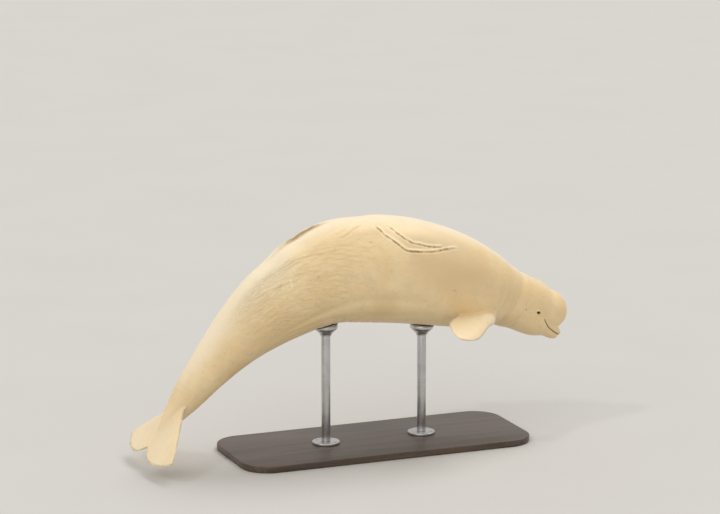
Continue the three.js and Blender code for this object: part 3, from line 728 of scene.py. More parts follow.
def shape_lids(p):
    """Pulls the skin over the left eyeball as two lids with an almond opening."""
    off = p - EYE_POINT
    near = (np.hypot(off @ EYE_BACK, off @ EYE_UP) < 0.060) & (p[..., 1] > 0)
    back, up = off[near] @ EYE_BACK, off[near] @ EYE_UP
    far = np.hypot(back, up)
    long, high = LID_OPENING
    opening = lid_opening(back, up)
    ball = np.sqrt(np.maximum(EYE_RADIUS ** 2 - far ** 2, 0)) - EYE_SUNK
    over = ball + LID_THICKNESS
    joint = np.maximum(LID_MELT - np.abs(over), 0) / LID_MELT
    dome = np.maximum(over, 0) + joint * joint * LID_MELT / 4 * fall(far, 0.022, 0.034)
    rim = 0.0013 * bell(opening - 1.17, 0.15)
    ring = np.hypot(back / long, up / high)
    folds = sum(deep * bell(ring - middle, wide) for middle, wide, deep in LID_FOLDS)
    folds *= 0.6 + 0.4 * np.clip(up / 0.01, -1, 1)
    tear = 0.0012 * bell(np.hypot(back + long * 1.25, up + 0.003), 0.006)
    height = blend(dome + rim - folds - tear, ball - 0.0030, fall(opening, 0.90, 1.02))
    lidded = p.copy()
    lidded[near] += EYE_OUT * (height * fall(far, 0.042, 0.058))[:, None]
    return lidded


# Meshes
def vertices_of(item):
    flat = np.zeros(len(item.data.vertices) * 3, np.float32)
    item.data.vertices.foreach_get("co", flat)
    return flat.reshape(-1, 3).astype(float)


def upright(item):
    """Turns an object's faces outwards if its volume reads as negative."""
    mesh = item.data
    mesh.calc_loop_triangles()
    corners = np.zeros(len(mesh.loop_triangles) * 3, np.int32)
    mesh.loop_triangles.foreach_get("vertices", corners)
    points = vertices_of(item)[corners.reshape(-1, 3)]
    volume = np.einsum("ij,ij->i", points[:, 0], np.cross(points[:, 1], points[:, 2])).sum()
    if volume < 0:
        mesh.flip_normals()
    return item


def new_object(name, vertices, quads, triangles=()):
    """A smooth-shaded object from its points and its faces of four and of three corners."""
    quads = np.asarray(quads)
    triangles = np.asarray(triangles, int).reshape(-1, 3)
    mesh = bpy.data.meshes.new(name)
    mesh.vertices.add(len(vertices))
    mesh.vertices.foreach_set("co", np.asarray(vertices, np.float32).ravel())
    corners = np.concatenate([quads.ravel(), triangles.ravel()]).astype(np.int32)
    mesh.loops.add(len(corners))
    mesh.loops.foreach_set("vertex_index", corners)
    starts = np.concatenate([np.arange(len(quads)) * 4, 4 * len(quads) + np.arange(len(triangles)) * 3])
    mesh.polygons.add(len(starts))
    mesh.polygons.foreach_set("loop_start", starts.astype(np.int32))
    mesh.update(calc_edges=True)
    mesh.shade_smooth()
    item = bpy.data.objects.new(name, mesh)
    bpy.context.scene.collection.objects.link(item)
    return upright(item)


def ring_quads(count, sides):
    """Faces from each ring of points to the next, the last ones back to the first ring."""
    at = np.arange(count * sides).reshape(count, sides)
    after = np.roll(at, -1, axis=1)
    return np.stack([at, after, np.roll(after, -1, axis=0), np.roll(at, -1, axis=0)], -1)


def closed_grid(name, rings, start=None, end=None, flip=False):
    """Rings of points joined into a closed surface, each end drawn to a point."""
    count, sides = rings.shape[:2]
    start = rings[0].mean(0) if start is None else start
    end = rings[-1].mean(0) if end is None else end
    vertices = np.concatenate([rings.reshape(-1, 3), [start], [end]])
    quads = ring_quads(count, sides)[:-1].reshape(-1, 4)
    here = np.arange(sides)
    after = np.roll(here, -1)
    tip, last = count * sides, (count - 1) * sides
    triangles = np.concatenate([
        np.stack([tip + 0 * here, after, here], -1),
        np.stack([tip + 1 + 0 * here, last + here, last + after], -1),
    ])
    if flip:
        quads, triangles = quads[:, ::-1], triangles[:, ::-1]
    return new_object(name, vertices, quads, triangles)


def spaced(low, high, spacing, crowds):
    """Values from low to high whose spacing shrinks near each crowd: (centre, width, times finer)."""
    at = np.linspace(low, high, 6000)
    density = np.ones_like(at)
    for centre, width, finer in crowds:
        density = np.maximum(density, 1 + (finer - 1) * bell(at - centre, width))
    total = np.concatenate([[0], np.cumsum((density[1:] + density[:-1]) / 2 * np.diff(at))])
    count = max(2, int(round(total[-1] / spacing)))
    return np.interp(np.linspace(0, total[-1], count + 1), total, at)


def body_grid():
    """Rings of the plain skin, closer together at the back's middle, the lips, the eyes and the ears."""
    quarter = math.pi / 2
    fine = spaced(-np.pi, np.pi, 0.001, [(0, 0.16, 2.6), (1.42, 0.36, 2.6), (-1.42, 0.36, 2.6)])
    angles = np.interp(np.arange(RING_POINTS) / RING_POINTS * (len(fine) - 1), np.arange(len(fine)), fine)
    openings = spaced(0.004, quarter, 0.0122, [(0, 0.14, 2.0), (quarter, 0.22, 2.6)])[:-1]
    front = FAN_CENTRE * BODY_LENGTH
    crowds = [(front - 0.006, 0.034, 7.5), (EAR_PLACE[0], 0.014, 3.6)]
    stations = spaced(front, SECTION[-1][0] * BODY_LENGTH, 0.0063, crowds) / BODY_LENGTH
    return np.concatenate([fan_points(openings, angles), ring_points(stations, angles)])


def grid_normals(grid):
    around = np.roll(grid, -1, axis=1) - np.roll(grid, 1, axis=1)
    normal = np.cross(np.gradient(grid, axis=0), around)
    normal /= np.maximum(np.linalg.norm(normal, axis=-1, keepdims=True), 1e-12)
    outward = ((grid - grid.mean(axis=1, keepdims=True)) * normal).sum() > 0
    return normal if outward else -normal


def body_object():
    grid = body_grid()
    places = flat_places(grid)
    height = sum(form(grid) for form in RELIEF)
    height += flank_wrinkles(grid)[0] + flank_scars(places)[0] + flank_folds(places)
    grid = shape_lids(grid + grid_normals(grid) * height[..., None])
    mirror = np.array([1, -1, 1])
    return closed_grid("body", bend(shape_lids(grid * mirror) * mirror))


def flipper_axes():
    """The left flipper's root and the directions of its span, chord and upper side, in the pose."""
    station, girth = np.array([FLIPPER["station"]]), np.radians([FLIPPER["girth"]])
    root = ring_points(station, girth)[0, 0]
    heading = math.radians(float(through(HEADING, FLIPPER["station"])))
    forward = Vector((math.cos(heading), 0, math.sin(heading)))
    up = Vector((-math.sin(heading), 0, math.cos(heading)))
    back, side, rise = FLIPPER["span"]
    span = (forward * back + Vector((0, 1, 0)) * side + up * rise).normalized()
    chord = (forward - span * forward.dot(span)).normalized()
    turn = math.radians(FLIPPER["pitch"])
    chord = chord * math.cos(turn) + span.cross(chord) * math.sin(turn)
    normal = chord.cross(span).normalized()
    if normal.z < 0:
        normal = -normal
    return bend(root[None])[0], np.array(span), np.array(chord), np.array(normal)


def flipper_reach(share, least):
    """The flipper's reach ahead of and behind its axis, and how its end is rounded off."""
    tip = np.clip((share - 0.55) / 0.45, 0, 1)
    rounding = np.sqrt(np.maximum(1 - tip ** 2.6, least))
    return through(FLIPPER_PLAN, share, 1) * rounding, through(FLIPPER_PLAN, share, 2) * rounding, rounding


def flipper_object(side):
    root, span, chord, normal = flipper_axes()
    low = -FLIPPER["inset"] / FLIPPER["length"]
    steps = np.sin(np.linspace(0, np.pi / 2, FLIPPER_RINGS))[:-1]
    share = (low + (1 - low) * steps)[:, None]
    angle = circle(FLIPPER_SIDES)[None, :]
    root_flare = bell(share, 0.10)
    ahead, behind, rounding = flipper_reach(share, 0)
    ahead, behind = ahead * (1 + 0.16 * root_flare), behind * (1 + 0.16 * root_flare)
    thick = through(FLIPPER_PLAN, share, 3) / 2 * np.sqrt(rounding) * (1 + 0.30 * root_flare)
    fingers = 0.0011 * np.cos(angle * 7) * plateau(share, 0.15, 0.4, 0.8, 1.0)
    across = (ahead - behind) / 2 + (ahead + behind) / 2 * np.cos(angle)
    curl = FLIPPER["curl"] * np.maximum(share, 0) ** 2
    out = curl + (thick * (1 + 0.35 * np.cos(angle)) + fingers) * np.sin(angle)
    along = share * FLIPPER["length"]
    rings = root + along[..., None] * span + across[..., None] * chord + out[..., None] * normal
    end = root + FLIPPER["length"] * span + FLIPPER["curl"] * normal
    mirror = np.array([1, side, 1])
    return closed_grid(f"flipper{side}", rings * mirror, end=end * mirror, flip=side > 0)


def fluke_object():
    turn = np.linspace(-1, 1, 2 * FLUKE_RINGS + 1)[:, None]
    out = np.sin(np.pi / 2 * np.abs(turn) ** 1.15)
    y = np.sign(turn) * FLUKE_PLAN[-1][0] * out
    lead, trail, thick = (through(FLUKE_PLAN, np.abs(y), i) for i in (1, 2, 3))
    angle = circle(FLUKE_SIDES)[None, :]
    blunt = (1 + 0.55 * np.cos(angle)) / 1.2
    x = blend(lead, trail, (1 - np.cos(angle)) / 2)
    wave = 0.0022 * np.sin(y * 46 + 1) * bell(np.cos(angle) + 1, 0.5)
    z = -FLUKE_DROOP * out ** 2 + thick / 2 * np.sin(angle) * blunt
    return closed_grid("flukes", bend(np.stack([x + wave, y + 0 * x, z], -1)), flip=True)


def applied(item):
    """The object's mesh with its modifiers made final."""
    graph = bpy.context.evaluated_depsgraph_get()
    mesh = bpy.data.meshes.new_from_object(item.evaluated_get(graph), depsgraph=graph)
    item.modifiers.clear()
    old = item.data
    item.data = mesh
    bpy.data.meshes.remove(old)
    return item


def joined(base, others):
    """One closed surface from a base and the pieces that grow out of it."""
    for other in others:
        union = base.modifiers.new("union", "BOOLEAN")
        union.operation = "UNION"
        union.solver = "MANIFOLD"
        union.object = other
    applied(base)
    for other in others:
        bpy.data.objects.remove(other)
    return base


def joint_cloud(points):
    """Those of a fin's points that lie close to the body's own surface."""
    straight = unbend(points)
    reach = body_reach(straight[:, 0] / BODY_LENGTH, np.arctan2(straight[:, 1], straight[:, 2]))
    off = np.hypot(straight[:, 1], straight[:, 2]) - reach
    return points[(np.abs(off) < JOINT_REACH) & (straight[:, 0] < FLUKES_FREE)]


def near_weight(points, cloud, full, none):
    """1 within full of a cloud of points, falling to 0 at none."""
    weight = np.zeros(len(points))
    near = np.where(np.all((points > cloud.min(0) - none) & (points < cloud.max(0) + none), axis=1))[0]
    for part in np.split(near, range(FILLET_CHUNK, len(near), FILLET_CHUNK)):
        far = np.sqrt(((points[part][:, None] - cloud[None]) ** 2).sum(-1)).min(1)
        weight[part] = fall(far, full, none)
    return weight


def soften(item, weight, rounds):
    """Smooths the mesh as strongly as the weight, rounded to tenths, says at each point."""
    group = item.vertex_groups.new(name="soft")
    for level in range(1, 11):
        chosen = np.where(np.round(weight * 10).astype(int) == level)[0]
        group.add([int(i) for i in chosen], level / 10, "REPLACE")
    smooth = item.modifiers.new("smooth", "SMOOTH")
    smooth.factor = 0.5
    smooth.iterations = rounds
    smooth.vertex_group = "soft"
    applied(item)
    item.vertex_groups.clear()


def attribute(item, name, values):
    """Stores a number or a vector for each point of an object."""
    kind, field = ("FLOAT", "value") if values.ndim == 1 else ("FLOAT_VECTOR", "vector")
    stored = item.data.attributes.new(name, kind, "POINT")
    stored.data.foreach_set(field, np.asarray(values, np.float32).ravel())


# Marks that the skin's colours use, as strengths from 0 to 1
def rim_marks(points, straight):
    """The brownish rims of flippers and flukes, and how far each point stands off the body."""
    x, y, z = straight.T
    root, span, chord, normal = flipper_axes()
    off = on_left(points) - root
    share, across = off @ span / FLIPPER["length"], off @ chord
    rise = off @ normal - FLIPPER["curl"] * np.maximum(share, 0) ** 2
    ahead, behind, _ = flipper_reach(share, 1e-4)
    place = np.where(across > 0, across / ahead, -across / behind)
    on_flipper = (share > 0.02) & (share < 1.05) & (np.abs(rise) < 0.05) & (place < 1.2)
    clear = np.hypot(y, z) - body_reach(np.clip(x / BODY_LENGTH, 0.1, 0.96), np.arctan2(y, z))
    rim = smoothstep(place, 0.84, 1.04) * on_flipper * smoothstep(share, 0.10, 0.30)
    rim *= smoothstep(clear, 0.004, 0.03)
    lead, trail = (through(FLUKE_PLAN, np.abs(y), i) for i in (1, 2))
    back_edge = smoothstep(x, trail - 0.020, trail - 0.001) * (x > 3.2)
    front_edge = fall(x, lead + 0.001, lead + 0.012) * (np.abs(y) > 0.07) * (x > 3.1)
    return np.maximum.reduce([0.8 * rim, back_edge, 0.6 * front_edge]), clear


def slit_shade_marks(straight):
    """Painted shade in the line between the lips, the blowhole, the ear holes and round the lids' rims."""
    x, y, z = straight.T
    lips = bell(z - mouth_height(x), 0.0030) * fall(x, MOUTH_CORNER - 0.002, MOUTH_CORNER + 0.012)
    across, run, _ = blowhole_parts(straight)
    off = on_left(straight) - EYE_POINT
    back, up = off @ EYE_BACK, off @ EYE_UP
    lid = bell(lid_opening(back, up) - 0.98, 0.16) * (np.hypot(back, up) < 0.03) * (np.abs(y) > 0.08)
    ear = bell(ear_distance(straight), 0.0035)
    return np.maximum.reduce([lips, bell(across, 0.0032) * run, ear, 0.9 * lid])


def dots(places, table, stretch, ragged=1.0):
    """Soft spots on the flat map, from a table of station, girth angle and size."""
    shown = np.zeros(len(places))
    for *middle, size in table:
        off = np.linalg.norm((places - on_map(middle)) * stretch, axis=1)
        shown = np.maximum(shown, bell(off * ragged, size))
    return shown


def skin_marks(points, straight):
    """Named strengths for the places where the skin's colour or grain differs, and the wrinkles' lie."""
    station, girth = station_and_girth(straight)
    places = flat_places(straight)
    _, scar, border = flank_scars(places)
    _, creases, lie = flank_wrinkles(straight)
    folds = np.clip(-flank_folds(places) / 0.004, 0, 1)
    scratch, along, _ = line_distance(places, skin_line(PALE_SCRATCH, 0.001, 3), 0.02)
    rim, clear = rim_marks(points, straight)
    ragged = 1 + 0.5 * lattice_noise(places[:, 0] / 0.007, places[:, 1] / 0.007, 51)

    _, swell, off = ridge_parts(straight)
    # The ridge's crest is painted brown, most strongly along one stretch, and the crease along its foot a
    # little less.
    browner_stretch = plateau(station, 0.502, 0.532, 0.556, 0.584)
    crest = fall(off, 0.55, 1.15) * (0.2 + 0.8 * browner_stretch) * np.minimum(1, 1.4 * swell)
    foot = bell(off - 1.12, 0.17) * swell

    # Painted highlight: the top of the back is painted lighter, as where light falls from above, in a band
    # whose lower edge moves along the body; the flukes and flippers are painted paler too.
    pale_to = blend(46, 34, smoothstep(station, 0.36, 0.44))
    pale_to = blend(pale_to, 68, smoothstep(station, 0.550, 0.605))
    pale = fall(girth, 4, pale_to) * plateau(station, 0.06, 0.20, 0.78, 0.92)
    fins = np.maximum(smoothstep(station, 0.87, 0.93), smoothstep(clear, 0.01, 0.06) * (station < 0.5))
    neck = bell(station - 0.165, 0.045) * smoothstep(girth, 40, 90)
    return {
        "scar": scar,
        "border": np.maximum(border, bell(scratch, 0.004) * faded(along, 0.2)),
        "ochre": dots(places, OCHRE_SPOTS, [0.6, 1.5]),
        # crease: painted shade that darkens the flanks' wrinkles and folds
        "crease": np.maximum(creases, folds),
        "grey": bell(station - 0.350, 0.066) * bell(girth - 49, 9),
        "shade": bell(station - 0.457, 0.036) * bell(girth - 37, 7.5),
        "front": plateau(station, 0.17, 0.26, 0.37, 0.45) * bell(girth - 72, 26),
        "bruise": bell(station - 0.336, 0.020) * bell(signed_girth(straight) + 52.6, 1.6),
        "brown": np.maximum(crest, 0.55 * foot) * (straight[:, 2] > 0),
        "rim": rim,
        # dark: painted shade in the mouth's slit, the blowhole, the ear holes and round the lids
        "dark": slit_shade_marks(straight),
        "spot": dots(places, SPOTS, [0.7, 1.2], ragged),
        "crinkle": flank_zone(straight, CRINKLE_ZONE),
        "fold": np.maximum(neck, bell(station - 0.888, 0.022)),
        # back: painted highlight along the top of the back, and paler flukes and flippers
        "back": np.maximum(pale, 0.45 * fins),
        "lie": lie,
    }


# Materials
class Shader:
    """A material's node tree, built by short calls."""

    def __init__(self, name):
        self.material = bpy.data.materials.new(name)
        self.material.use_nodes = True
        self.tree = self.material.node_tree
        self.surface = self.tree.nodes["Principled BSDF"]

    def node(self, kind, **settings):
        made = self.tree.nodes.new("ShaderNode" + kind)
        for name, value in settings.items():
            setattr(made, name, value)
        return made

    def put(self, socket, value):
        """Links another node's output to a socket, or sets the socket's own value."""
        if isinstance(value, bpy.types.NodeSocket):
            self.tree.links.new(value, socket)
        elif hasattr(socket.default_value, "__len__") and not hasattr(value, "__len__"):
            socket.default_value = [value] * len(socket.default_value)
        elif hasattr(value, "__len__") and len(value) == 3 and len(socket.default_value) == 4:
            socket.default_value = (*value, 1)
        else:
            socket.default_value = value

    def fill(self, node, **values):
        """Sets or links the sockets of a node by their names, a space written as an underscore."""
        for name, value in values.items():
            self.put(node.inputs[name.replace("_", " ")], value)
        return node

    def finish(self, **values):
        """Sets the surface's own sockets and gives the material."""
        self.fill(self.surface, **values)
        return self.material

    def attribute(self, name, output="Fac"):
        return self.node("Attribute", attribute_name=name).outputs[output]

    def coordinates(self):
        return self.node("TexCoord").outputs["Object"]

    def scaled(self, vector, factors):
        node = self.node("VectorMath", operation="MULTIPLY")
        self.put(node.inputs[0], vector)
        self.put(node.inputs[1], factors)
        return node.outputs[0]

    def noise(self, vector, scale, detail, roughness=0.5, distortion=0.0):
        grain = {"Scale": scale, "Detail": detail, "Roughness": roughness, "Distortion": distortion}
        return self.fill(self.node("TexNoise"), Vector=vector, **grain).outputs["Fac"]

    def cells(self, vector, scale):
        node = self.node("TexVoronoi", feature="F1")
        return self.fill(node, Vector=vector, Scale=scale).outputs["Distance"]

    def range(self, value, low, high, to_low=0.0, to_high=1.0):
        node = self.node("MapRange", interpolation_type="SMOOTHSTEP")
        self.fill(node, Value=value, From_Min=low, From_Max=high, To_Min=to_low, To_Max=to_high)
        return node.outputs["Result"]

    def math(self, operation, a, b=0.0):
        node = self.node("Math", operation=operation)
        self.put(node.inputs[0], a)
        self.put(node.inputs[1], b)
        return node.outputs[0]

    def times(self, a, b):
        return self.math("MULTIPLY", a, b)

    def line(self, noise, width):
        """Thin lines where a noise crosses its middle."""
        return self.range(self.math("ABSOLUTE", self.math("SUBTRACT", noise, 0.5)), 0.0, width)

    def mix(self, share, a, b):
        node = self.node("Mix", data_type="RGBA", blend_type="MIX")
        self.put(node.inputs["Factor"], share)
        self.put(node.inputs[6], a)
        self.put(node.inputs[7], b)
        return node.outputs[2]

    def layered(self, colour, layers):
        """A colour under layers of other colours, each with its share."""
        for share, over in layers:
            colour = self.mix(share, colour, over)
        return colour

    def bumps(self, heights):
        """A normal that follows heights, each with its distance and strength."""
        normal = None
        for height, distance, strength in heights:
            node = self.fill(self.node("Bump"), Distance=distance, Strength=strength, Height=height)
            if normal is not None:
                self.put(node.inputs["Normal"], normal)
            normal = node.outputs["Normal"]
        return normal


CREAM_LIGHT = (0.88, 0.70, 0.415)
CREAM_DEEP = (0.80, 0.60, 0.325)
CREAM_GREY = (0.62, 0.54, 0.40)
SPECKLE = (0.60, 0.47, 0.28)
PAINTED_HIGHLIGHT_AND_PALE_FINS = (0.93, 0.84, 0.66)
GREY_FLANK = (0.60, 0.51, 0.355)
FRONT_FLANK = (0.70, 0.51, 0.29)
SHADED = (0.70, 0.53, 0.30)
PAINTED_CREASE_SHADE = (0.60, 0.43, 0.21)
OCHRE = (0.56, 0.34, 0.11)
OCHRE_BRIGHT = (0.62, 0.34, 0.09)
CRUST = (0.33, 0.18, 0.06)
WELT_HIGHLIGHT_AND_PALE_SCRATCH = (0.97, 0.88, 0.65)
RIDGE_BROWN = (0.35, 0.21, 0.085)
RIM_BROWN = (0.36, 0.28, 0.18)
PAINTED_SLIT_SHADE = (0.045, 0.032, 0.025)
SPOT_GREY = (0.34, 0.31, 0.29)
BRUISE = (0.50, 0.44, 0.46)


def skin_material():
    s = Shader("skin")
    place = s.attribute("straight", "Vector")
    broad = s.noise(place, 2.6, 4, 0.55, 0.4)
    patch = s.noise(s.scaled(place, (1, 1.6, 1.6)), 7.0, 5, 0.6, 0.8)
    speck = s.noise(place, 46, 4, 0.6)
    streak = s.noise(s.scaled(place, (3.0, 22, 22)), 1.0, 5, 0.6, 0.6)
    crack = s.noise(place, 130, 4, 0.65)
    scar = s.attribute("scar")

    def marked(name, strength):
        return s.times(s.attribute(name), strength)

    brown = marked("brown", s.range(s.noise(place, 32, 3), 0.25, 0.6, 0.50, 0.85))
    folded = marked("fold", s.range(s.noise(s.scaled(place, (60, 5, 5)), 1.0, 4), 0.5, 0.66))
    colour = s.mix(s.range(broad, 0.36, 0.66), CREAM_LIGHT, CREAM_DEEP)
    colour = s.layered(colour, [
        (s.range(patch, 0.52, 0.76, 0, 0.42), CREAM_GREY),
        (s.range(streak, 0.40, 0.72, 0, 0.28), CREAM_DEEP),
        (s.range(speck, 0.54, 0.72, 0, 0.30), SPECKLE),
        # painted highlight along the top of the back, and paler flukes and flippers
        (marked("back", 0.75), PAINTED_HIGHLIGHT_AND_PALE_FINS),
        (marked("grey", s.range(patch, 0.30, 0.62, 0.30, 0.60)), GREY_FLANK),
        (marked("front", s.range(broad, 0.3, 0.6, 0.35, 0.6)), FRONT_FLANK),
        (marked("shade", s.range(patch, 0.3, 0.7, 0.5, 0.8)), SHADED),
        (s.range(s.cells(s.scaled(place, (1, 1.3, 1.3)), 9.0), 0.03, 0.075, 0.35, 0), CREAM_GREY),
        (marked("spot", 0.72), SPOT_GREY),
        (marked("bruise", 0.7), BRUISE),
        # painted shade in the wrinkles and folds
        (marked("crease", s.range(streak, 0.3, 0.7, 0.14, 0.34)), PAINTED_CREASE_SHADE),
        # painted highlight on the scars' welts, and the pale scratch's own colour
        (marked("border", 0.9), WELT_HIGHLIGHT_AND_PALE_SCRATCH),
        # the scars' own ochre and crust, also painted shade in the gash
        (s.range(scar, 0.12, 0.60, 0, 0.78), OCHRE),
        (s.times(s.range(scar, 0.45, 0.9), s.range(crack, 0.40, 0.58)), CRUST),
        (marked("ochre", 0.7), OCHRE_BRIGHT),
        (brown, RIDGE_BROWN),
        (marked("rim", s.range(s.noise(place, 22, 4), 0.3, 0.65, 0.25, 0.85)), RIM_BROWN),
        (s.times(folded, 0.20), CREAM_GREY),
        # painted shade in the mouth's slit, the blowhole, the ear holes and round the lids
        (marked("dark", 0.92), PAINTED_SLIT_SHADE),
    ])
    rough = s.range(s.noise(place, 5.5, 4), 0.3, 0.7, 0.46, 0.60)
    wrinkle = s.noise(s.scaled(s.attribute("lie", "Vector"), (2.2, 1.3, 1)), 1.0, 3, 0.5, 0.5)
    cross = s.noise(s.scaled(place, (52, 9, 9)), 1.0, 3, 0.5, 0.8)
    normal = s.bumps([
        (s.line(wrinkle, 0.09), 0.0014, marked("crinkle", 0.75)),
        (s.line(cross, 0.10), 0.0012, marked("fold", 0.4)),
        (s.noise(place, 28, 4, 0.6), 0.0034, 0.45),
        (s.noise(place, 240, 3, 0.6), 0.0006, 0.35),
        (crack, 0.0022, s.math("MAXIMUM", scar, s.times(brown, 0.6))),
    ])
    return s.finish(
        Base_Color=colour, Roughness=s.math("ADD", rough, s.times(scar, 0.2)), Normal=normal, IOR=1.4,
        Coat_Weight=0.10, Coat_Roughness=0.30,
        Sheen_Weight=0.22, Sheen_Roughness=0.35, Sheen_Tint=(1.0, 0.97, 0.90),
        Subsurface_Weight=0.12, Subsurface_Radius=(0.018, 0.011, 0.006), Subsurface_Scale=1.0,
    )


def eye_material():
    """Dark brown iris with a wide pupil, fibres and a thin greyish rim, under a wet coat."""
    s = Shader("eye")
    place = s.attribute("gaze", "Vector")
    part = s.node("SeparateXYZ")
    s.put(part.inputs[0], place)
    across, up = (s.math("POWER", part.outputs[i], 2.0) for i in (0, 1))
    far = s.math("SQRT", s.math("ADD", across, s.times(up, 1.5)))
    fibres = s.noise(s.scaled(place, (1, 1, 0.2)), 900, 3, 0.6)
    iris = s.mix(s.range(fibres, 0.35, 0.65), (0.022, 0.010, 0.005), (0.055, 0.028, 0.013))
    colour = s.mix(s.range(far, 0.0056, 0.0066), (0.004, 0.004, 0.005), iris)
    colour = s.layered(colour, [
        (s.range(far, 0.0105, 0.0125), (0.010, 0.008, 0.007)),
        (s.range(far, 0.0135, 0.0165), (0.17, 0.13, 0.11)),
    ])
    return s.finish(Base_Color=colour, Roughness=0.22, IOR=1.35, Coat_Weight=0.6, Coat_Roughness=0.03)


def board_material():
    s = Shader("stained_board")
    coords = s.coordinates()
    grain = s.noise(s.scaled(coords, (1.6, 34, 20)), 1.0, 6, 0.62, 1.6)
    rings = s.noise(s.scaled(coords, (0.5, 7.0, 7.0)), 1.0, 3, 0.5, 2.0)
    pores = s.noise(s.scaled(coords, (18, 420, 200)), 1.0, 2, 0.6)
    colour = s.mix(s.range(grain, 0.30, 0.70), (0.050, 0.032, 0.021), (0.115, 0.076, 0.050))
    colour = s.layered(colour, [
        (s.range(rings, 0.42, 0.60, 0, 0.6), (0.036, 0.024, 0.017)),
        (s.range(pores, 0.60, 0.70, 0, 0.6), (0.018, 0.012, 0.009)),
    ])
    return s.finish(
        Base_Color=colour, Roughness=s.range(grain, 0.2, 0.8, 0.36, 0.50),
        Normal=s.bumps([(pores, 0.0003, 0.5), (grain, 0.0005, 0.4)]), Coat_Weight=0.15, Coat_Roughness=0.25,
    )


def steel_material():
    s = Shader("brushed_steel")
    coords = s.coordinates()
    brushed = s.noise(s.scaled(coords, (14, 14, 900)), 1.0, 3, 0.6)
    smear = s.noise(coords, 9.0, 4, 0.6)
    colour = s.mix(s.range(smear, 0.3, 0.7), (0.50, 0.50, 0.51), (0.60, 0.60, 0.61))
    rough = s.math("ADD", s.range(brushed, 0.3, 0.7, 0.24, 0.36), s.range(smear, 0.4, 0.8, 0, 0.08))
    normal = s.bumps([(brushed, 0.0002, 0.35)])
    return s.finish(Base_Color=colour, Metallic=1.0, Roughness=rough, Normal=normal)


def rubber_material():
    s = Shader("rubber")
    coords = s.coordinates()
    grain = s.noise(coords, 380, 3, 0.6)
    dust = s.noise(coords, 24, 4, 0.6)
    colour = s.mix(s.range(dust, 0.4, 0.8, 0, 0.5), (0.022, 0.021, 0.020), (0.060, 0.057, 0.053))
    rough = s.range(dust, 0.3, 0.7, 0.55, 0.75)
    return s.finish(Base_Color=colour, Roughness=rough, Normal=s.bumps([(grain, 0.0004, 0.5)]))


def floor_material():
    s = Shader("floor")
    cloud = s.noise(s.coordinates(), 0.9, 4, 0.5)
    colour = s.mix(s.range(cloud, 0.3, 0.7), (0.575, 0.57, 0.56), (0.585, 0.58, 0.57))
    return s.finish(Base_Color=colour, Roughness=0.8)


# The animal
body = body_object()
flippers = [flipper_object(1), flipper_object(-1)]
flukes = fluke_object()
# A part of the points along each joint is enough to find where its fillet goes.
flipper_joints = [joint_cloud(vertices_of(flipper))[::3] for flipper in flippers]
fluke_joints = joint_cloud(vertices_of(flukes))[::6]
skin = joined(body, flippers + [flukes])
skin.name = "skin"

# Fillets where the fins leave the body
points = vertices_of(skin)
weight = near_weight(points, fluke_joints, *FLUKE_FILLET)
for cloud in flipper_joints:
    weight = np.maximum(weight, near_weight(points, cloud, *FLIPPER_FILLET))
soften(skin, weight, FILLET_ROUNDS)

# Colours and grain read these marks.
points = vertices_of(skin)
straight = unbend(points)
attribute(skin, "straight", straight)
for name, values in skin_marks(points, straight).items():
    attribute(skin, name, values)
skin.data.materials.clear()
skin.data.materials.append(skin_material())
skin.data.shade_smooth()


def eye_object(name, side):
    """An eyeball whose points know their places from the axis of its gaze."""
    centre = EYE_POINT - EYE_OUT * EYE_SUNK
    around = circle(EYE_SIDES)[None, :]
    down = np.linspace(0.02, np.pi - 0.02, EYE_RINGS)[:, None]
    gaze = EYE_RADIUS * np.stack([
        np.sin(down) * np.cos(around), np.sin(down) * np.sin(around), np.cos(down) + 0 * around,
    ], -1)
    rings = centre + gaze @ np.stack([EYE_BACK, EYE_UP, EYE_OUT])
    mirror = np.array([1, side, 1])
    poles = [bend((centre + EYE_OUT * reach) * mirror) for reach in (EYE_RADIUS, -EYE_RADIUS)]
    ball = closed_grid(name, bend(rings * mirror), *poles)
    axis = np.array([[0, 0, EYE_RADIUS], [0, 0, -EYE_RADIUS]])
    attribute(ball, "gaze", np.concatenate([gaze.reshape(-1, 3), axis]))
    return ball


eyes = {name: eye_object(name, side) for name, side in (("eyeball_left", 1), ("eyeball_right", -1))}

# The pose is built from the snout; the frame tells where the animal stands over its base.
low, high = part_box("eye_left")
seat = (np.array(low) + np.array(high)) / 2
own = vertices_of(eyes["eyeball_left"])
shift = Vector(seat - (own.min(0) + own.max(0)) / 2)
shift.y = 0
for item in (skin, *eyes.values()):
    item.data.transform(Matrix.Translation(shift))
    item.data.update()

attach(skin, "root")
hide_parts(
    "head", "lower_jaw", "neck", "chest", "belly", "loin", "tail_stock", "dorsal_ridge",
    "flipper_left", "flipper_right", "fluke_left", "fluke_right",
)
wet_eye = eye_material()
for name, ball in eyes.items():
    ball.data.materials.append(wet_eye)
    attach(ball, "root")
    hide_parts(name.replace("eyeball", "eye"))

# The stand
BOARD_CORNER = 0.19
BOARD_EDGE = 0.007
EDGE_STEPS = 7
CORNER_STEPS = 20
ROD_RADIUS = 0.030
SCREW_CIRCLE = 0.070
# Outline of a screw's head with its socket: radius, then height over the flange
SCREW = [
    (0.0085, -0.001), (0.0085, 0.0012), (0.0072, 0.0032),
    (0.0040, 0.0040), (0.0036, 0.0012), (0.0006, 0.0012),
]
CUP_NECK = 0.038
CUP_MOUTH = 0.079
CUP_HEIGHT = 0.0555
CUP_GAP = 0.0027
# How far from a cup's middle and how far up the skin's underside is measured for its shape
PATCH_REACH = 0.12
PATCH_HEIGHT = 0.09
# Outline of a cup's rubber lip: radius, then depth below the belly
PAD = [(0.0740, 0.0005), (0.0800, 0.0010), (0.0806, 0.0040), (0.0802, 0.0075), (0.0770, 0.0080)]


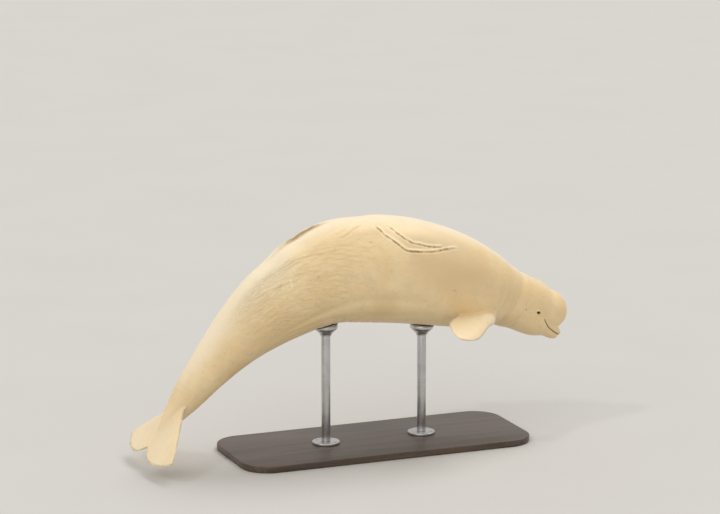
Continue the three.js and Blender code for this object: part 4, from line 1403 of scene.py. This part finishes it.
def dress(item, node, material):
    """Gives a piece of the stand its material and body, and hides the node that it replaces, if any."""
    item.data.materials.append(material)
    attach(item, "root")
    if node:
        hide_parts(node)


def board_object(half_x, half_y, top):
    quarter = np.linspace(0, np.pi / 2, EDGE_STEPS)
    edge = [(BOARD_EDGE * (1 - math.sin(a)), BOARD_EDGE * (1 - math.cos(a))) for a in quarter]
    rings = []
    for inset, z in edge + [(inset, top - z) for inset, z in reversed(edge)]:
        ring = []
        for k, (sx, sy) in enumerate(((1, 1), (-1, 1), (-1, -1), (1, -1))):
            turn = np.linspace(0, np.pi / 2, CORNER_STEPS) + k * np.pi / 2
            radius = BOARD_CORNER - inset
            cx, cy = sx * (half_x - BOARD_CORNER), sy * (half_y - BOARD_CORNER)
            ring += [(cx + radius * math.cos(a), cy + radius * math.sin(a), z) for a in turn]
        rings.append(ring)
    return closed_grid("display_board", np.array(rings))


def turned(name, profile, x, y=0.0, sides=STAND_SIDES):
    """A piece turned round an upright axis, from an outline of radius and height."""
    rings = [[(x + r * math.cos(a), y + r * math.sin(a), z) for a in circle(sides)] for r, z in profile]
    return closed_grid(name, np.array(rings))


def rounded(radius, z_low, z_high, edge):
    """A turned piece's outline with both of its rims rounded."""
    turn = np.linspace(0, np.pi / 2, 5)
    lower = [(radius - edge + edge * math.sin(a), z_low + edge - edge * math.cos(a)) for a in turn]
    upper = [(radius - edge + edge * math.cos(a), z_high - edge + edge * math.sin(a)) for a in turn]
    return lower + upper


def belly_height(x):
    """The height of the skin's underside over a patch round one place, as a smooth function."""
    p = vertices_of(skin)
    patch = p[np.hypot(p[:, 0] - x, p[:, 1]) < PATCH_REACH]
    patch = patch[patch[:, 2] < patch[:, 2].min() + PATCH_HEIGHT]

    def terms(u, v):
        return np.stack([np.ones_like(u), u, u * u, v * v, u * v * v, u ** 3, v ** 4, u * u * v * v], -1)

    fit = np.linalg.lstsq(terms(patch[:, 0] - x, patch[:, 1]), patch[:, 2], rcond=None)[0]
    return lambda px, py: terms(px - x, py) @ fit


def ring_under(x, radius, height, drop):
    """A ring of points that follows the belly, this far below it."""
    px, py = x + radius * np.cos(circle(STAND_SIDES)), radius * np.sin(circle(STAND_SIDES))
    return np.stack([px, py, height(px, py) - drop], -1)


def saddle_rings(x, foot, height):
    """A trumpet that opens up to the belly and follows it across its mouth."""
    angle = circle(STAND_SIDES)
    rings = []
    for share in np.linspace(0, 1, 16):
        radius = CUP_NECK + (CUP_MOUTH - CUP_NECK) * math.sin(share * np.pi / 2) ** 2
        z = np.full(STAND_SIDES, foot + CUP_HEIGHT * share)
        rings.append(np.stack([x + radius * np.cos(angle), radius * np.sin(angle), z], -1))
    for radius in (CUP_MOUTH, CUP_MOUTH - 0.003, CUP_MOUTH * 0.7, CUP_MOUTH * 0.4, CUP_MOUTH * 0.1):
        rings.append(ring_under(x, radius, height, CUP_GAP))
    return np.array(rings)


steel = steel_material()
rubber = rubber_material()
low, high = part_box("stand_base")
dress(board_object(high.x, high.y, high.z), "stand_base", board_material())
for end in ("front", "rear"):
    low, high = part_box(f"stand_flange_{end}")
    x = (low.x + high.x) / 2
    flange = turned(f"flange_{end}", rounded((high.x - low.x) / 2, low.z, high.z, 0.004), x)
    dress(flange, f"stand_flange_{end}", steel)
    outline = [(radius, high.z + rise) for radius, rise in SCREW]
    for k in range(4):
        a = math.pi / 4 + k * math.pi / 2
        cx, cy = x + SCREW_CIRCLE * math.cos(a), SCREW_CIRCLE * math.sin(a)
        dress(turned(f"screw_{end}_{k}", outline, cx, cy, 48), None, steel)

    low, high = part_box(f"stand_rod_{end}")
    rod = turned(f"rod_{end}", rounded(ROD_RADIUS, low.z, high.z, 0.002), x)
    dress(rod, f"stand_rod_{end}", steel)

    low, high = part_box(f"stand_saddle_{end}")
    height = belly_height(x)
    saddle = closed_grid(f"saddle_{end}", saddle_rings(x, low.z, height))
    dress(saddle, f"stand_saddle_{end}", steel)
    lip = np.concatenate([ring_under(x, radius, height, drop) for radius, drop in PAD])
    pad = new_object(f"pad_{end}", lip, ring_quads(len(PAD), STAND_SIDES).reshape(-1, 4))
    dress(pad, None, rubber)

# Floor, light and camera
FLOOR_HALF = 60
corners = [(x * FLOOR_HALF, y * FLOOR_HALF, 0) for x, y in ((-1, -1), (1, -1), (1, 1), (-1, 1))]
floor = new_object("floor", corners, [(0, 1, 2, 3)])
floor.data.materials.append(floor_material())

CAMERA_TARGET = Vector((-0.1006, 0, 1.2917))
CAMERA_AZIMUTH = -22
CAMERA_ELEVATION = 12
CAMERA_DISTANCE = 20.0
SENSOR_WIDTH = 36
PIXELS_PER_RADIAN = 3031
IMAGE_WIDTH = 720


def direction(azimuth, elevation):
    """Towards a place seen from the animal's right side at these angles, in degrees."""
    azimuth, elevation = math.radians(azimuth), math.radians(elevation)
    return Vector((
        math.sin(azimuth) * math.cos(elevation),
        -math.cos(azimuth) * math.cos(elevation),
        math.sin(elevation),
    ))


def placed(name, data, azimuth, elevation):
    """A camera or light turned to look at the animal from these angles."""
    item = bpy.data.objects.new(name, data)
    bpy.context.scene.collection.objects.link(item)
    item.rotation_euler = direction(azimuth, elevation).to_track_quat("Z", "Y").to_euler()
    return item


camera = placed("camera", bpy.data.cameras.new("camera"), CAMERA_AZIMUTH, CAMERA_ELEVATION)
camera.location = CAMERA_TARGET + direction(CAMERA_AZIMUTH, CAMERA_ELEVATION) * CAMERA_DISTANCE
camera.data.sensor_width = SENSOR_WIDTH
camera.data.lens = SENSOR_WIDTH * PIXELS_PER_RADIAN / IMAGE_WIDTH
camera.data.clip_end = 200
bpy.context.scene.camera = camera


def sun(name, azimuth, elevation, strength, spread, colour):
    light = bpy.data.lights.new(name, "SUN")
    light.energy = strength
    light.angle = math.radians(spread)
    light.color = colour
    return placed(name, light, azimuth, elevation)


sun("key", 120, 58, 1.20, 30, (1.0, 0.97, 0.92))
sun("fill", -40, 35, 0.6, 60, (1.0, 0.96, 0.90))
sun("glint", -75, 48, 0.32, 5, (1.0, 0.97, 0.92))
world = bpy.data.worlds.new("studio")
world.use_nodes = True
world.node_tree.nodes["Background"].inputs["Color"].default_value = (1.0, 0.975, 0.935, 1)
world.node_tree.nodes["Background"].inputs["Strength"].default_value = 0.65
bpy.context.scene.world = world
bpy.context.scene.view_settings.view_transform = "Standard"
